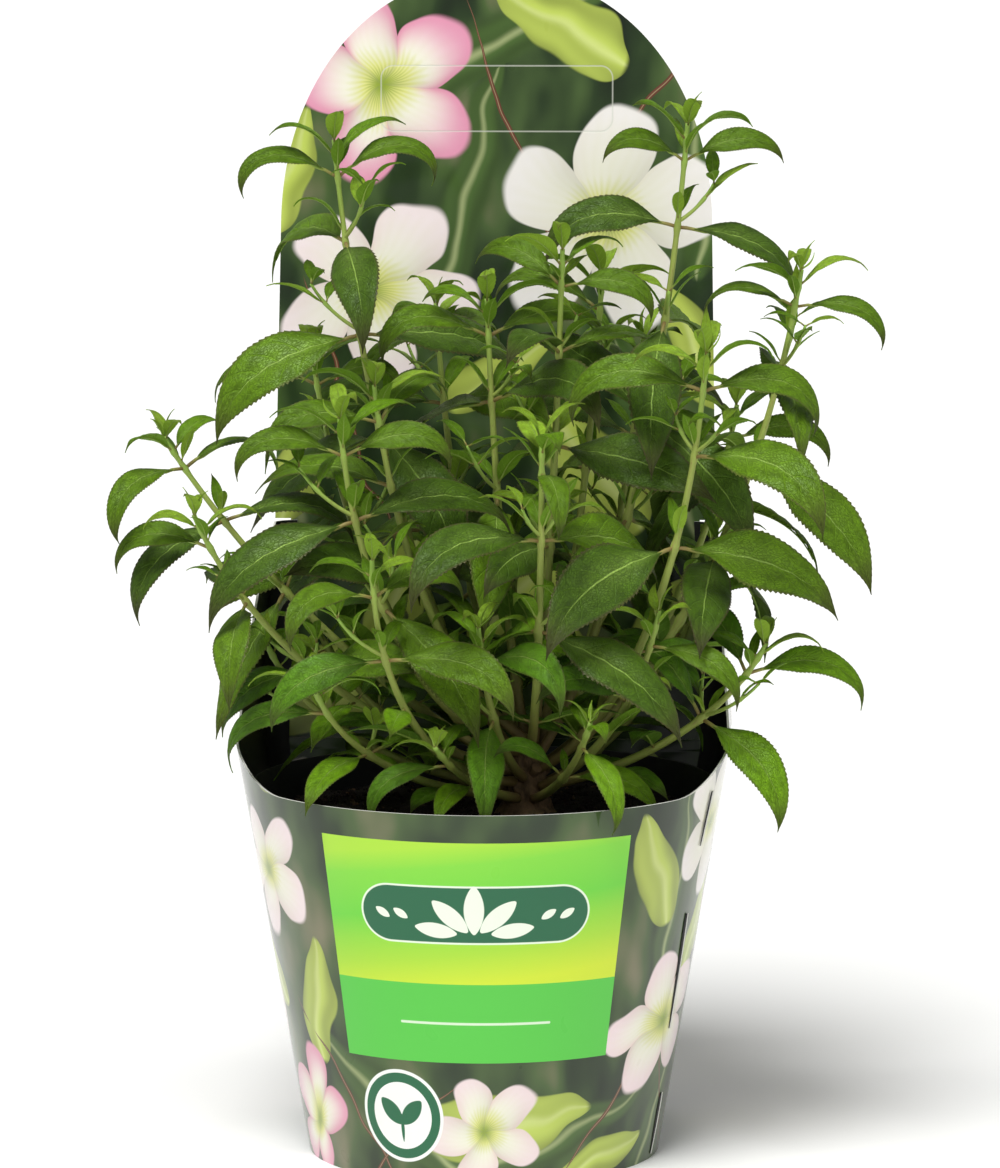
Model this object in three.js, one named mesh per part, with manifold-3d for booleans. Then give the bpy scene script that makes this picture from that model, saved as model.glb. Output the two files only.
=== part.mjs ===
// Young weigela in its nursery pot, dressed in a printed board sleeve with a tall arched back.
// Millimetres, +Z up, -Y is the front. The origin is the centre of the pot's flat underside.

import * as THREE from 'three';
import { mergeVertices } from 'three/addons/utils/BufferGeometryUtils.js';
import Module from 'manifold-3d';

const wasm = await Module();
wasm.setup();

// ---- Dimensions ----------------------------------------------------------------------------

const GAP = 0.3;                    // clearance between neighbouring pieces

const POT_HEIGHT = 148;
const POT_BASE_RADIUS = 66;
const POT_RIM_RADIUS = 93.4;        // outside of the rim band
const POT_RIM_DEPTH = 14;
const POT_WALL = 1.5;
const DRAIN_COUNT = 6;
const DRAIN_RADIUS = 5;
const DRAIN_RING = 46;
const SOIL_TOP = 136;

const SLEEVE_WALL = 1;
const SLEEVE_BASE_RADIUS = 70;
const SLEEVE_RIM_RADIUS = 96;
const SLEEVE_RIM_HEIGHT = 150;
const SLEEVE_CORNER = 10;           // radius of the two folds at the back
const WING_SIDE_HEIGHT = 164;       // the rim where it passes the pot's widest point
const WING_TOP_HEIGHT = 240;        // the rim where it reaches the back card

const CARD_THICKNESS = 1;
const CARD_TOP = 466;
const CARD_LEAN = 0.10;             // backwards, per millimetre of height
const CARD_HALF_WIDTH = 91.5;
const CARD_SPRING_HALF_WIDTH = 89.5;
const CARD_SPRING_HEIGHT = 360;     // where the arch begins
const CARD_ARCH_POWER = 2.1;

const STOOL = new THREE.Vector2(17, 0);   // the woody crown stands off the pot's centre
const STOOL_PROFILE = [[12.5, 0.3], [9.6, 4], [8.4, 10], [7.2, 16], [5.4, 22], [3.4, 26.5], [0, 28.5]];

// Shoots: tip; foot on the stool as turn, ring radius, height; bow of the stem; turns of the leaf
// pairs from the tip down; leaf length; share of it that the first pair has; bare share of the
// stem; droop of the leaves. A shoot with a limb has its bare stem as a limb of its own.
const SHOOTS = [
  { name: 'tall_right', tip: [80, 10, 409], foot: [350, 6.5, 161], bow: 0.55,
    turns: [28, 178, 75, -15], leaf: 70, first: 0.52, bare: 0.33, weep: 1.0, limb: true },
  { name: 'right_high', tip: [125, 3, 352], foot: [0, 9, 155], bow: 0.60,
    turns: [-12, -80, -14, 60], leaf: 62, first: 0.62, bare: 0.46, weep: 1.0, limb: true },
  { name: 'right_mid', tip: [88, -45, 323], foot: [323, 9, 155], bow: 0.75,
    turns: [-4, -40, 25], leaf: 70, first: 0.80, bare: 0.42, weep: 1.0, limb: true },
  { name: 'front', tip: [25, -62, 292], foot: [280, 6.5, 161], bow: 0.95,
    turns: [-80, -150, -18, -60], leaf: 70, first: 0.66, bare: 0.20, weep: 1.0, limb: true },
  { name: 'left_low', tip: [-40, -70, 245], foot: [231, 10, 149], bow: 1.0,
    turns: [17, 176, -63], leaf: 54, first: 0.85, bare: 0.42, weep: 0.9, limb: true },
  { name: 'left_mid', tip: [-54, -45, 297], foot: [218, 6.5, 161], bow: 0.80,
    turns: [6, -158, -70, 10], leaf: 70, first: 0.66, bare: 0.34, weep: 1.0, limb: true },
  { name: 'top_left', tip: [-60, 15, 402], foot: [165, 6.5, 161], bow: 0.60,
    turns: [4, -72, 15, -60], leaf: 68, first: 0.66, bare: 0.33, weep: 1.25, limb: true },
  { name: 'left_upper', tip: [-42, -22, 308], foot: [215, 3.5, 167], bow: 0.65,
    turns: [20, -70, 30, -50], leaf: 66, first: 0.70, bare: 0.34, weep: 1.0, limb: true },
  { name: 'centre_left', tip: [1, 5, 340], foot: [110, 3.5, 168], bow: 0.45,
    turns: [8, -40, 50, -30], leaf: 70, first: 0.70, bare: 0.26, weep: 1.0, limb: true },
  { name: 'centre', tip: [31, 0, 360], foot: [335, 3.5, 167], bow: 0.40,
    turns: [-8, 70, -30, 50], leaf: 68, first: 0.60, bare: 0.26, weep: 1.0, limb: true },
  { name: 'centre_right', tip: [46, 32, 348], foot: [48, 6.5, 161], bow: 0.45,
    turns: [-24, 50, -10, 70], leaf: 68, first: 0.66, bare: 0.26, weep: 1.0, limb: true },
  { name: 'far_left', tip: [-127, 0, 285], foot: [176, 9, 155], bow: 0.30,
    turns: [34, -150, 60], leaf: 60, first: 0.85, bare: 0.50, weep: 1.2, limb: true },
  { name: 'far_left_low', tip: [-112, -34, 258], foot: [203, 9, 153], bow: 0.55,
    turns: [-10, -105, -20], leaf: 54, first: 0.80, bare: 0.48, weep: 1.1, limb: true },
  { name: 'right_edge', tip: [100, 40, 295], foot: [34, 9.5, 155], bow: 0.60,
    turns: [16, -60, 50], leaf: 62, first: 0.70, bare: 0.36, weep: 1.0, limb: true },
  { name: 'back_left', tip: [-72, 52, 316], foot: [140, 9, 155], bow: 0.65,
    turns: [10, 100, 20], leaf: 66, first: 0.70, bare: 0.36, weep: 1.0, limb: true },
  { name: 'back_mid', tip: [-22, 58, 334], foot: [107, 6.5, 161], bow: 0.60,
    turns: [50, -30, 40, -40], leaf: 66, first: 0.70, bare: 0.30, weep: 1.0, limb: true },
  { name: 'back_right', tip: [62, 66, 320], foot: [70, 9, 155], bow: 0.60,
    turns: [-30, 50, -20], leaf: 66, first: 0.70, bare: 0.34, weep: 1.0, limb: true },
  { name: 'low_right', tip: [112, -22, 207], foot: [346, 11, 147], bow: 0.55,
    turns: [-8, -42, -100], leaf: 58, first: 0.90, bare: 0.40, weep: 0.9, limb: false },
  { name: 'right_back', tip: [90, 62, 238], foot: [38, 11, 147], bow: 0.70,
    turns: [-20, 50, -30], leaf: 58, first: 0.80, bare: 0.40, weep: 1.0, limb: false },
  { name: 'low_back', tip: [9, 75, 235], foot: [99, 11, 145], bow: 0.80,
    turns: [12, 78, 6], leaf: 58, first: 0.80, bare: 0.34, weep: 1.0, limb: false },
  { name: 'low_left', tip: [-86, -12, 206], foot: [186, 11, 146], bow: 0.70,
    turns: [50, -160, 10], leaf: 60, first: 0.90, bare: 0.34, weep: 1.0, limb: false },
  { name: 'left_front', tip: [-64, -58, 196], foot: [214, 11.5, 143], bow: 0.75,
    turns: [-10, -120], leaf: 58, first: 0.95, bare: 0.44, weep: 0.9, limb: false },
  { name: 'low_left_back', tip: [-80, 48, 232], foot: [152, 11, 147], bow: 0.75,
    turns: [40, -30, 60], leaf: 60, first: 0.85, bare: 0.40, weep: 1.0, limb: false },
  { name: 'low_centre', tip: [0, -48, 216], foot: [258, 10, 152], bow: 0.60,
    turns: [-20, -120, 0], leaf: 56, first: 0.90, bare: 0.30, weep: 0.9, limb: false },
  { name: 'low_front', tip: [-16, -68, 172], foot: [246, 12, 143], bow: 0.40,
    turns: [15, -120], leaf: 44, first: 0.95, bare: 0.34, weep: 1.0, limb: false },
  { name: 'low_front_right', tip: [44, -68, 182], foot: [292, 12, 143], bow: 0.45,
    turns: [-70, 10], leaf: 44, first: 0.95, bare: 0.34, weep: 1.0, limb: false },
  { name: 'right_low', tip: [70, -40, 222], foot: [318, 11, 148], bow: 0.60,
    turns: [-20, 60, -30], leaf: 56, first: 0.85, bare: 0.34, weep: 0.9, limb: false },
];

const STEM_TIP_RADIUS = 1.1;
const STEM_BASE_RADIUS = 2.2;
const FIRST_INTERNODE = 15;
const INTERNODE_GROWTH = 11;
const LONGEST_INTERNODE = 40;
const LIGHT_SIDE = new THREE.Vector2(8, 140);   // blades tip away from this point behind the plant

const LEAF_STEPS = 18;
const LEAF_KEEL = 0.9;              // thickness of a leaf along its midrib
const LEAF_SPACING = 3.2;           // leaves keep this far apart
const STEM_SPACING = 3.9;           // and this far from another shoot's stem

// Leaves by place on the shoot: rise at the base, droop to the tip, half width as a share of the
// length, petiole. Angles in degrees, each with its own share of chance.
const LEAF_KINDS = {
  tip: { rise: 66, riseChance: 8, droop: 95, droopChance: 30, width: 0.16, petiole: 2 },
  young: { rise: 46, riseChance: 9, droop: 92, droopChance: 22, width: 0.175, petiole: 3 },
  axil: { rise: 58, riseChance: 10, droop: 60, droopChance: 25, width: 0.19, petiole: 3 },
  full: { rise: -10, riseChance: 14, droop: 42, droopChance: 18, width: 0.18, petiole: 6 },
};

// A leaf that would touch something tries these turns, rises (degrees) and sizes before it is left out.
const TRIALS = [
  [0, 0, 1], [14, 0, 1], [-14, 0, 1], [28, 0, 1], [-28, 0, 1],
  [0, 14, 1], [0, -14, 1], [20, 14, 0.85], [-20, -14, 0.85],
  [0, 28, 0.95], [40, 0, 0.9], [-40, 0, 0.9], [24, 28, 0.8], [-24, 28, 0.8],
  [0, 46, 0.8], [60, 14, 0.75], [-60, 14, 0.75], [0, 64, 0.7],
];

// ---- Materials -----------------------------------------------------------------------------

const MATERIALS = {
  pot: { color: 0x17181a, roughness: 0.55 },
  soil: { color: 0x241c17, roughness: 1.0 },
  sleeve: { color: 0x5a7a4a, roughness: 0.35 },
  wood: { color: 0x6b5438, roughness: 0.9 },
  stem: { color: 0x8c9a5c, roughness: 0.7 },
  leaves: { color: 0x3f6b34, roughness: 0.6 },
};

const group = new THREE.Group();

function addMesh(name, geometry, look) {
  const material = new THREE.MeshStandardMaterial({ ...MATERIALS[look], metalness: 0 });
  const mesh = new THREE.Mesh(geometry, material);
  mesh.name = name;
  group.add(mesh);
  return mesh;
}

// ---- Solids --------------------------------------------------------------------------------

const radians = THREE.MathUtils.degToRad;
const { lerp, clamp } = THREE.MathUtils;

function toSolid(geometry) {
  const bare = geometry.clone();
  bare.deleteAttribute('normal');
  bare.deleteAttribute('uv');
  const welded = mergeVertices(bare, 1e-4);
  return new wasm.Manifold(new wasm.Mesh({
    numProp: 3,
    vertProperties: new Float32Array(welded.attributes.position.array),
    triVerts: new Uint32Array(welded.index.array),
  }));
}

function toGeometry(solid) {
  const { vertProperties, triVerts } = solid.getMesh();
  const geometry = new THREE.BufferGeometry();
  geometry.setAttribute('position', new THREE.BufferAttribute(vertProperties, 3));
  geometry.setIndex(new THREE.BufferAttribute(triVerts, 1));
  geometry.computeVertexNormals();
  return geometry;
}

// A closed skin over rings of equal count; the last ring may be a single point.
function loft(rings) {
  const count = rings[0].length;
  const points = rings.flat();
  const last = rings[rings.length - 1];
  const index = [];
  for (let r = 0; r < rings.length - 1; r++) {
    for (let k = 0; k < count; k++) {
      const a = r * count + k;
      const b = r * count + (k + 1) % count;
      if (rings[r + 1].length === 1) {
        index.push(a, b, (r + 1) * count);
      } else {
        index.push(a, b, b + count, a, b + count, a + count);
      }
    }
  }
  for (let k = 1; k < count - 1; k++) {
    index.push(0, k + 1, k);
    const end = points.length - count;
    if (last.length > 1) index.push(end, end + k, end + k + 1);
  }
  if (signedVolume(points, index) < 0) index.reverse();
  const geometry = new THREE.BufferGeometry().setFromPoints(points);
  geometry.setIndex(index);
  geometry.computeVertexNormals();
  return geometry;
}

function signedVolume(points, index) {
  let six = 0;
  for (let i = 0; i < index.length; i += 3) {
    const [a, b, c] = [points[index[i]], points[index[i + 1]], points[index[i + 2]]];
    six += a.dot(new THREE.Vector3().crossVectors(b, c));
  }
  return six / 6;
}

// A body turned about Z from [radius, height] pairs that close on themselves or end on the axis.
function turned(profile, segments) {
  const geometry = new THREE.LatheGeometry(profile.map(([r, z]) => new THREE.Vector2(r, z)), segments);
  return geometry.rotateX(Math.PI / 2);
}

// ---- Pot and soil --------------------------------------------------------------------------

const potSlope = (POT_RIM_RADIUS - 4 - POT_BASE_RADIUS) / (POT_HEIGHT - POT_RIM_DEPTH);
const potInside = (z) => POT_BASE_RADIUS - POT_WALL + potSlope * z;

function makePot() {
  const shoulder = POT_HEIGHT - POT_RIM_DEPTH;
  const profile = [
    [0, 0], [POT_BASE_RADIUS - 2, 0], [POT_BASE_RADIUS, 2],
    [POT_BASE_RADIUS + potSlope * shoulder, shoulder],
    [POT_RIM_RADIUS - 1.9, shoulder], [POT_RIM_RADIUS, POT_HEIGHT - 1], [POT_RIM_RADIUS - 1, POT_HEIGHT],
    [POT_RIM_RADIUS - POT_WALL - 0.5, POT_HEIGHT], [POT_RIM_RADIUS - POT_WALL - 2.4, shoulder + 2],
    [potInside(shoulder), shoulder - 1], [potInside(POT_WALL), POT_WALL + 1], [0, POT_WALL + 1],
  ];
  let pot = toSolid(turned(profile, 40));
  for (let k = 0; k < DRAIN_COUNT; k++) {
    const angle = (2 * Math.PI * (k + 0.5)) / DRAIN_COUNT;
    const drain = new THREE.CylinderGeometry(DRAIN_RADIUS, DRAIN_RADIUS, 8, 12);
    drain.rotateX(Math.PI / 2);
    drain.translate(DRAIN_RING * Math.cos(angle), DRAIN_RING * Math.sin(angle), 0);
    pot = pot.subtract(toSolid(drain));
  }
  return toGeometry(pot);
}

function makeSoil() {
  const bottom = POT_WALL + 1 + GAP;
  const shoulder = POT_HEIGHT - POT_RIM_DEPTH;
  const profile = [
    [0, bottom], [potInside(bottom) - GAP, bottom], [potInside(shoulder - 1) - GAP, shoulder - 1],
    [potInside(shoulder - 1) - GAP, SOIL_TOP - 1], [potInside(shoulder - 1) - 4, SOIL_TOP], [0, SOIL_TOP],
  ];
  return turned(profile, 40);
}

addMesh('pot', makePot(), 'pot');
addMesh('soil', makeSoil(), 'soil');

// ---- Sleeve and back card ------------------------------------------------------------------

// Half width of the sleeve at a height: a cone up to the rim; the wings then draw in to the card.
function sleeveHalfWidth(z) {
  if (z <= WING_SIDE_HEIGHT) {
    return lerp(SLEEVE_BASE_RADIUS, SLEEVE_RIM_RADIUS, z / SLEEVE_RIM_HEIGHT);
  }
  const share = (z - WING_SIDE_HEIGHT) / (WING_TOP_HEIGHT - WING_SIDE_HEIGHT);
  return lerp(sleeveHalfWidth(WING_SIDE_HEIGHT), CARD_HALF_WIDTH + 0.5, share);
}

const sleeveBack = (z) => (z <= SLEEVE_RIM_HEIGHT
  ? lerp(SLEEVE_BASE_RADIUS, SLEEVE_RIM_RADIUS, z / SLEEVE_RIM_HEIGHT) + 1
  : SLEEVE_RIM_RADIUS + 1 + CARD_LEAN * (z - SLEEVE_RIM_HEIGHT));

// The sleeve's plan is a D: half a circle in front, straight sides, folded corners, a flat back.
// A station is a place round the right half of it, from 0 at the middle of the front to 1 at the
// side, 2 where the fold begins, 3 where it ends and 4 at the middle of the back.
function sleevePoint(station, z, inset) {
  const half = sleeveHalfWidth(z) - inset;
  const back = sleeveBack(z) - inset;
  const corner = SLEEVE_CORNER - inset;
  if (station <= 1) {
    const angle = station * Math.PI / 2;
    return [half * Math.sin(angle), -half * Math.cos(angle)];
  }
  if (station <= 2) return [half, (back - corner) * (station - 1)];
  if (station <= 3) {
    const angle = (station - 2) * Math.PI / 2;
    return [half - corner + corner * Math.cos(angle), back - corner + corner * Math.sin(angle)];
  }
  return [(half - corner) * (4 - station), back];
}

function sleeveTop(station) {
  if (station <= 0.6) return SLEEVE_RIM_HEIGHT;
  if (station <= 1) {
    return lerp(SLEEVE_RIM_HEIGHT, WING_SIDE_HEIGHT, THREE.MathUtils.smoothstep(station, 0.6, 1));
  }
  if (station <= 2) {
    return lerp(WING_SIDE_HEIGHT, WING_TOP_HEIGHT - 4, Math.sin((station - 1) * Math.PI / 2) ** 0.8);
  }
  return station < 3 ? WING_TOP_HEIGHT : SLEEVE_RIM_HEIGHT;
}

function makeSleeve() {
  const stations = [];
  for (let k = 0; k <= 14; k++) stations.push(k / 14);
  stations.push(1.17, 1.34, 1.5, 1.67, 1.84, 2, 2.33, 2.66, 2.98, 3.001, 3.4);
  const right = stations.map((s) => [s, 1]);
  const left = stations.slice(1).reverse().map((s) => [s, -1]);
  const rings = [...right, [4, 1], ...left].map(([station, side]) => {
    const top = sleeveTop(station);
    const levels = top > WING_SIDE_HEIGHT
      ? [0, SLEEVE_RIM_HEIGHT, WING_SIDE_HEIGHT, top]
      : [0, 0.5 * top, 0.93 * top, top];
    const point = (z, inset) => {
      const [x, y] = sleevePoint(station, z, inset);
      return new THREE.Vector3(side * x, y, z);
    };
    return [
      ...levels.map((z) => point(z, 0)),
      ...levels.reverse().map((z) => point(z, SLEEVE_WALL)),
    ];
  });
  return closedLoft(rings);
}

// A closed skin over rings that run round in a loop, without end caps.
function closedLoft(rings) {
  const count = rings[0].length;
  const points = rings.flat();
  const index = [];
  rings.forEach((_, r) => {
    const here = r * count;
    const next = ((r + 1) % rings.length) * count;
    for (let k = 0; k < count; k++) {
      const far = (k + 1) % count;
      index.push(here + k, here + far, next + far, here + k, next + far, next + k);
    }
  });
  if (signedVolume(points, index) < 0) index.reverse();
  const geometry = new THREE.BufferGeometry().setFromPoints(points);
  geometry.setIndex(index);
  geometry.computeVertexNormals();
  return geometry;
}

function makeCard() {
  const waist = SLEEVE_RIM_RADIUS - SLEEVE_CORNER - 1;
  const shape = new THREE.Shape();
  const bottom = SLEEVE_RIM_HEIGHT + GAP;
  const step = WING_TOP_HEIGHT + 2 * GAP;
  const rise = CARD_TOP - CARD_SPRING_HEIGHT;
  const right = [[waist, bottom], [waist - 4, step], [CARD_HALF_WIDTH, step]];
  for (let k = 0; k <= 12; k++) {
    const angle = (k / 12) * Math.PI / 2;
    right.push([
      CARD_SPRING_HALF_WIDTH * Math.cos(angle) ** (2 / CARD_ARCH_POWER),
      CARD_SPRING_HEIGHT + rise * Math.sin(angle) ** (2 / CARD_ARCH_POWER),
    ]);
  }
  const left = right.slice(0, -1).reverse().map(([x, z]) => [-x, z]);
  [...right, ...left].forEach(([x, z], k) => (k ? shape.lineTo(x, z) : shape.moveTo(x, z)));
  const card = new THREE.ExtrudeGeometry(shape, { depth: CARD_THICKNESS, bevelEnabled: false, steps: 1 });
  // Upright, its front face on the sleeve's back, then sheared to lean backwards.
  card.rotateX(Math.PI / 2);
  card.translate(0, SLEEVE_RIM_RADIUS + 1, 0);
  const lean = new THREE.Matrix4().makeShear(0, 0, 0, 0, 0, CARD_LEAN);
  card.translate(0, 0, -SLEEVE_RIM_HEIGHT).applyMatrix4(lean).translate(0, 0, SLEEVE_RIM_HEIGHT);
  return card;
}

addMesh('sleeve_wrap', makeSleeve(), 'sleeve');
addMesh('back_card', makeCard(), 'sleeve');

// ---- Woody crown at the soil ---------------------------------------------------------------

function makeStool(grow) {
  const profile = STOOL_PROFILE.map(([r, z]) => [r ? r + grow : 0, SOIL_TOP + z + (r ? 0 : grow)]);
  if (grow) profile[0][1] = SOIL_TOP - 2;
  return turned([[0, profile[0][1]], ...profile], 16).translate(STOOL.x, STOOL.y, 0);
}

const socket = toSolid(makeStool(GAP));
addMesh('stool', makeStool(0), 'wood');

// ---- Stems ---------------------------------------------------------------------------------

// The stem leaves the stool outwards, then turns up towards its tip.
function makeStemPath({ tip, foot: [turn, ring, height], bow }) {
  const end = new THREE.Vector3(...tip);
  const foot = new THREE.Vector3(
    STOOL.x + ring * Math.cos(radians(turn)), STOOL.y + ring * Math.sin(radians(turn)), height);
  const rise = end.z - foot.z;
  const outward = foot.clone().lerp(end, 0.62).setZ(foot.z + 0.06 * rise);
  const upward = new THREE.Vector3(end.x, end.y, end.z - 0.5 * rise);
  const near = foot.clone().lerp(end, 1 / 3).lerp(outward, bow);
  const far = foot.clone().lerp(end, 2 / 3).lerp(upward, bow);
  const points = new THREE.CubicBezierCurve3(foot, near, far, end).getPoints(40);
  let length = 0;
  for (let k = 1; k < points.length; k++) length += points[k].distanceTo(points[k - 1]);
  return { points, length };
}

// The place and direction at a distance along the stem; below zero it runs on straight into the stool.
function along({ points }, distance) {
  let run = 0;
  for (let k = 1; k < points.length; k++) {
    const step = points[k].distanceTo(points[k - 1]);
    if (run + step >= distance || k === points.length - 1) {
      return {
        point: points[k - 1].clone().lerp(points[k], (distance - run) / step),
        direction: points[k].clone().sub(points[k - 1]).normalize(),
      };
    }
    run += step;
  }
  return null;
}

const stemRadius = (share) => lerp(STEM_BASE_RADIUS, STEM_TIP_RADIUS, clamp(share, 0, 1));

// A tapering round stem between two distances along its path.
function makeStem(path, from, to, sides, spacing) {
  const steps = Math.max(2, Math.round((to - from) / spacing));
  const rings = [];
  for (let k = 0; k <= steps; k++) {
    const distance = lerp(from, to, k / steps);
    const { point, direction } = along(path, distance);
    const across = new THREE.Vector3(0, 0, 1).cross(direction);
    if (across.length() < 0.05) across.set(-0.6, 0.8, 0).cross(direction);
    across.normalize();
    const up = direction.clone().cross(across);
    const radius = stemRadius(distance / path.length);
    rings.push(Array.from({ length: sides }, (_, s) => {
      const angle = (2 * Math.PI * s) / sides;
      return point.clone()
        .addScaledVector(across, radius * Math.cos(angle))
        .addScaledVector(up, radius * Math.sin(angle));
    }));
  }
  return loft(rings);
}

// ---- Leaves --------------------------------------------------------------------------------

// A fixed chance between -1 and 1 for a leaf's seed and the trait it decides.
function chance(seed, trait) {
  const value = Math.sin(seed * 12.9898 + trait * 78.233) * 43758.5453;
  return 2 * (value - Math.floor(value)) - 1;
}

// Half width of a blade along its length, 1 at the widest.
const bladeOutline = (u) => (u <= 0 || u >= 1 ? 0 : u * (1 - u) ** 1.4 / 0.1959);

// Directions of a leaf at a share of its length: along the midrib, across the blade, out of its face.
function leafAxes(leaf, share) {
  const rise = leaf.rise - leaf.droop * share ** 1.8;
  const turn = leaf.turn + leaf.sweep * share;
  const roll = leaf.roll * Math.min(1, share / 0.35);
  const forward = new THREE.Vector3(
    Math.cos(rise) * Math.cos(turn), Math.cos(rise) * Math.sin(turn), Math.sin(rise));
  const flat = new THREE.Vector3(-Math.sin(turn), Math.cos(turn), 0);
  const face = new THREE.Vector3(
    -Math.sin(rise) * Math.cos(turn), -Math.sin(rise) * Math.sin(turn), Math.cos(rise));
  const across = flat.clone().multiplyScalar(Math.cos(roll)).addScaledVector(face, Math.sin(roll));
  const normal = face.multiplyScalar(Math.cos(roll)).addScaledVector(flat, -Math.sin(roll));
  return { forward, across, normal };
}

// Places along the midrib, petiole included, with the half width of the blade at each.
function leafFrames(leaf) {
  const total = leaf.petiole + leaf.length;
  const step = total / LEAF_STEPS;
  const point = leaf.base.clone();
  const frames = [];
  for (let k = 0; k <= LEAF_STEPS; k++) {
    const share = k / LEAF_STEPS;
    const width = leaf.width * bladeOutline((share * total - leaf.petiole) / leaf.length);
    frames.push({ point: point.clone(), ...leafAxes(leaf, share), width, run: share * total });
    point.addScaledVector(leafAxes(leaf, (k + 0.5) / LEAF_STEPS).forward, step);
  }
  return frames;
}

// Blades are gently folded up from the midrib.
function bladePoint(frame, side) {
  const lift = frame.width * (0.42 * Math.abs(side) - 0.35 * side * side);
  return frame.point.clone().addScaledVector(frame.across, frame.width * side)
    .addScaledVector(frame.normal, lift);
}

function leafSamples(leaf) {
  const samples = [];
  for (const frame of leafFrames(leaf)) {
    if (frame.run < 7) continue;
    const half = Math.max(1, Math.ceil(frame.width / 3.6));
    for (let k = -half; k <= half; k++) samples.push(bladePoint(frame, k / half));
  }
  return samples;
}

// A leaf's solid: flat above, keeled below along the midrib, its root at the heart of the stem.
function makeLeaf(leaf) {
  const frames = leafFrames(leaf);
  const stops = leaf.length > 34 ? [0, 3, 7, 12] : [0, 8];
  const rings = stops.map((k) => {
    const frame = frames[k];
    const half = Math.max(0.75, frame.width);
    return [
      frame.point.clone().addScaledVector(frame.across, half).addScaledVector(frame.normal, 0.07 * half),
      frame.point.clone().addScaledVector(frame.across, -half).addScaledVector(frame.normal, 0.07 * half),
      frame.point.clone().addScaledVector(frame.normal, -LEAF_KEEL),
    ];
  });
  return loft([...rings, [frames[LEAF_STEPS].point]]);
}

// ---- Growth --------------------------------------------------------------------------------

// Points already taken by stems and leaves, in cubes a little wider than the spacing.
class Occupied {
  constructor(size) {
    this.size = size;
    this.cubes = new Map();
  }

  cube(point) {
    return [point.x, point.y, point.z].map((c) => Math.floor(c / this.size));
  }

  add(point, owner, spacing) {
    const key = this.cube(point).join();
    if (!this.cubes.has(key)) this.cubes.set(key, []);
    this.cubes.get(key).push({ point, owner, spacing });
  }

  touches(point, ownStem) {
    const [i, j, k] = this.cube(point);
    for (let a = i - 1; a <= i + 1; a++) {
      for (let b = j - 1; b <= j + 1; b++) {
        for (let c = k - 1; c <= k + 1; c++) {
          for (const taken of this.cubes.get([a, b, c].join()) ?? []) {
            if (taken.owner !== ownStem && taken.point.distanceTo(point) < taken.spacing) return true;
          }
        }
      }
    }
    return false;
  }
}

// Whether a place is in or too near the soil, the pot's rim, the sleeve's wall or the card.
function hitsPot({ x, y, z }) {
  if (z > SLEEVE_RIM_HEIGHT - 10 && y > sleeveBack(z) - 5) return true;
  const station = y < 0
    ? Math.atan2(Math.abs(x), -y) / (Math.PI / 2)
    : 1 + Math.min(1, y / (SLEEVE_RIM_RADIUS - SLEEVE_CORNER));
  const outside = (y < 0 ? Math.hypot(x, y) : Math.abs(x)) - sleeveHalfWidth(Math.min(z, WING_TOP_HEIGHT));
  if (z < SOIL_TOP + 3 && outside < 6) return true;
  if (z < SLEEVE_RIM_HEIGHT + 4 && Math.abs(outside) < 8) return true;
  return z < sleeveTop(station) + 5 && Math.abs(outside) < 5;
}

// Leaf pairs of one shoot from the tip down: distance along the stem, turn, kind, share of full size.
function leafSites(shoot, index, path) {
  const sites = [
    { at: path.length - 1.5, turn: shoot.turns[0] + 90, kind: 'tip', share: 0.32, order: 0 },
    { at: path.length - 7, turn: shoot.turns[0] + 8, kind: 'young', share: 0.46, order: 1 },
  ];
  let gap = FIRST_INTERNODE;
  let below = gap;
  for (let j = 0; path.length - below > shoot.bare * path.length + 3; j++) {
    const extra = j - shoot.turns.length + 1;
    const turn = extra > 0 ? shoot.turns.at(-1) + 80 * extra : shoot.turns[j];
    const share = j > 3 ? 0.9 : Math.min(1, shoot.first + 0.28 * j);
    const at = path.length - below;
    sites.push({ at, turn, kind: 'full', share, order: j + 2 });
    if (j > 0 && chance(index * 7 + j, 9) > -0.1) {
      sites.push({ at: at + 3, turn: turn + 80, kind: 'axil', share: 0.36, order: -1 });
    }
    gap = Math.min(LONGEST_INTERNODE, gap + INTERNODE_GROWTH);
    below += gap;
  }
  return sites;
}

function drawLeaf(shoot, index, path, site, side) {
  const kind = LEAF_KINDS[site.kind];
  const seed = index * 10 + site.order * 2 + side + (site.kind === 'tip' ? 100 : 0);
  const { point: base, direction: stem } = along(path, site.at);
  const turn = radians(site.turn + 180 * side + 11 * chance(seed, 1));
  const length = shoot.leaf * site.share * (1 + 0.09 * chance(seed, 2));
  // A full leaf on the light side hangs, the uppermost two pairs still arch upwards, and a blade
  // leans with its stem and tips its face to the light.
  const full = site.kind === 'full';
  const lit = full ? Math.max(0, -Math.sin(turn)) : 0;
  const upper = full ? 2 - Math.min(2, site.order - 2) : 0;
  const lean = full
    ? THREE.MathUtils.radToDeg(Math.atan2(-stem.x * Math.cos(turn) - stem.y * Math.sin(turn), stem.z))
    : 0;
  const outward = Math.atan2(base.y - LIGHT_SIDE.y, base.x - LIGHT_SIDE.x);
  const roll = full
    ? -50 * Math.sin(outward - turn) + 14 * chance(seed, 6)
    : 24 * chance(seed, 6);
  return {
    base, turn, length,
    sweep: radians(22 * chance(seed, 5)),
    rise: radians(kind.rise + 20 * upper - 18 * lit + 0.6 * lean + kind.riseChance * chance(seed, 3)),
    droop: radians(kind.droop + 16 * upper + kind.droopChance * chance(seed, 4)) * (full ? shoot.weep : 1),
    roll: radians(roll),
    width: length * kind.width,
    petiole: kind.petiole,
  };
}

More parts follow.
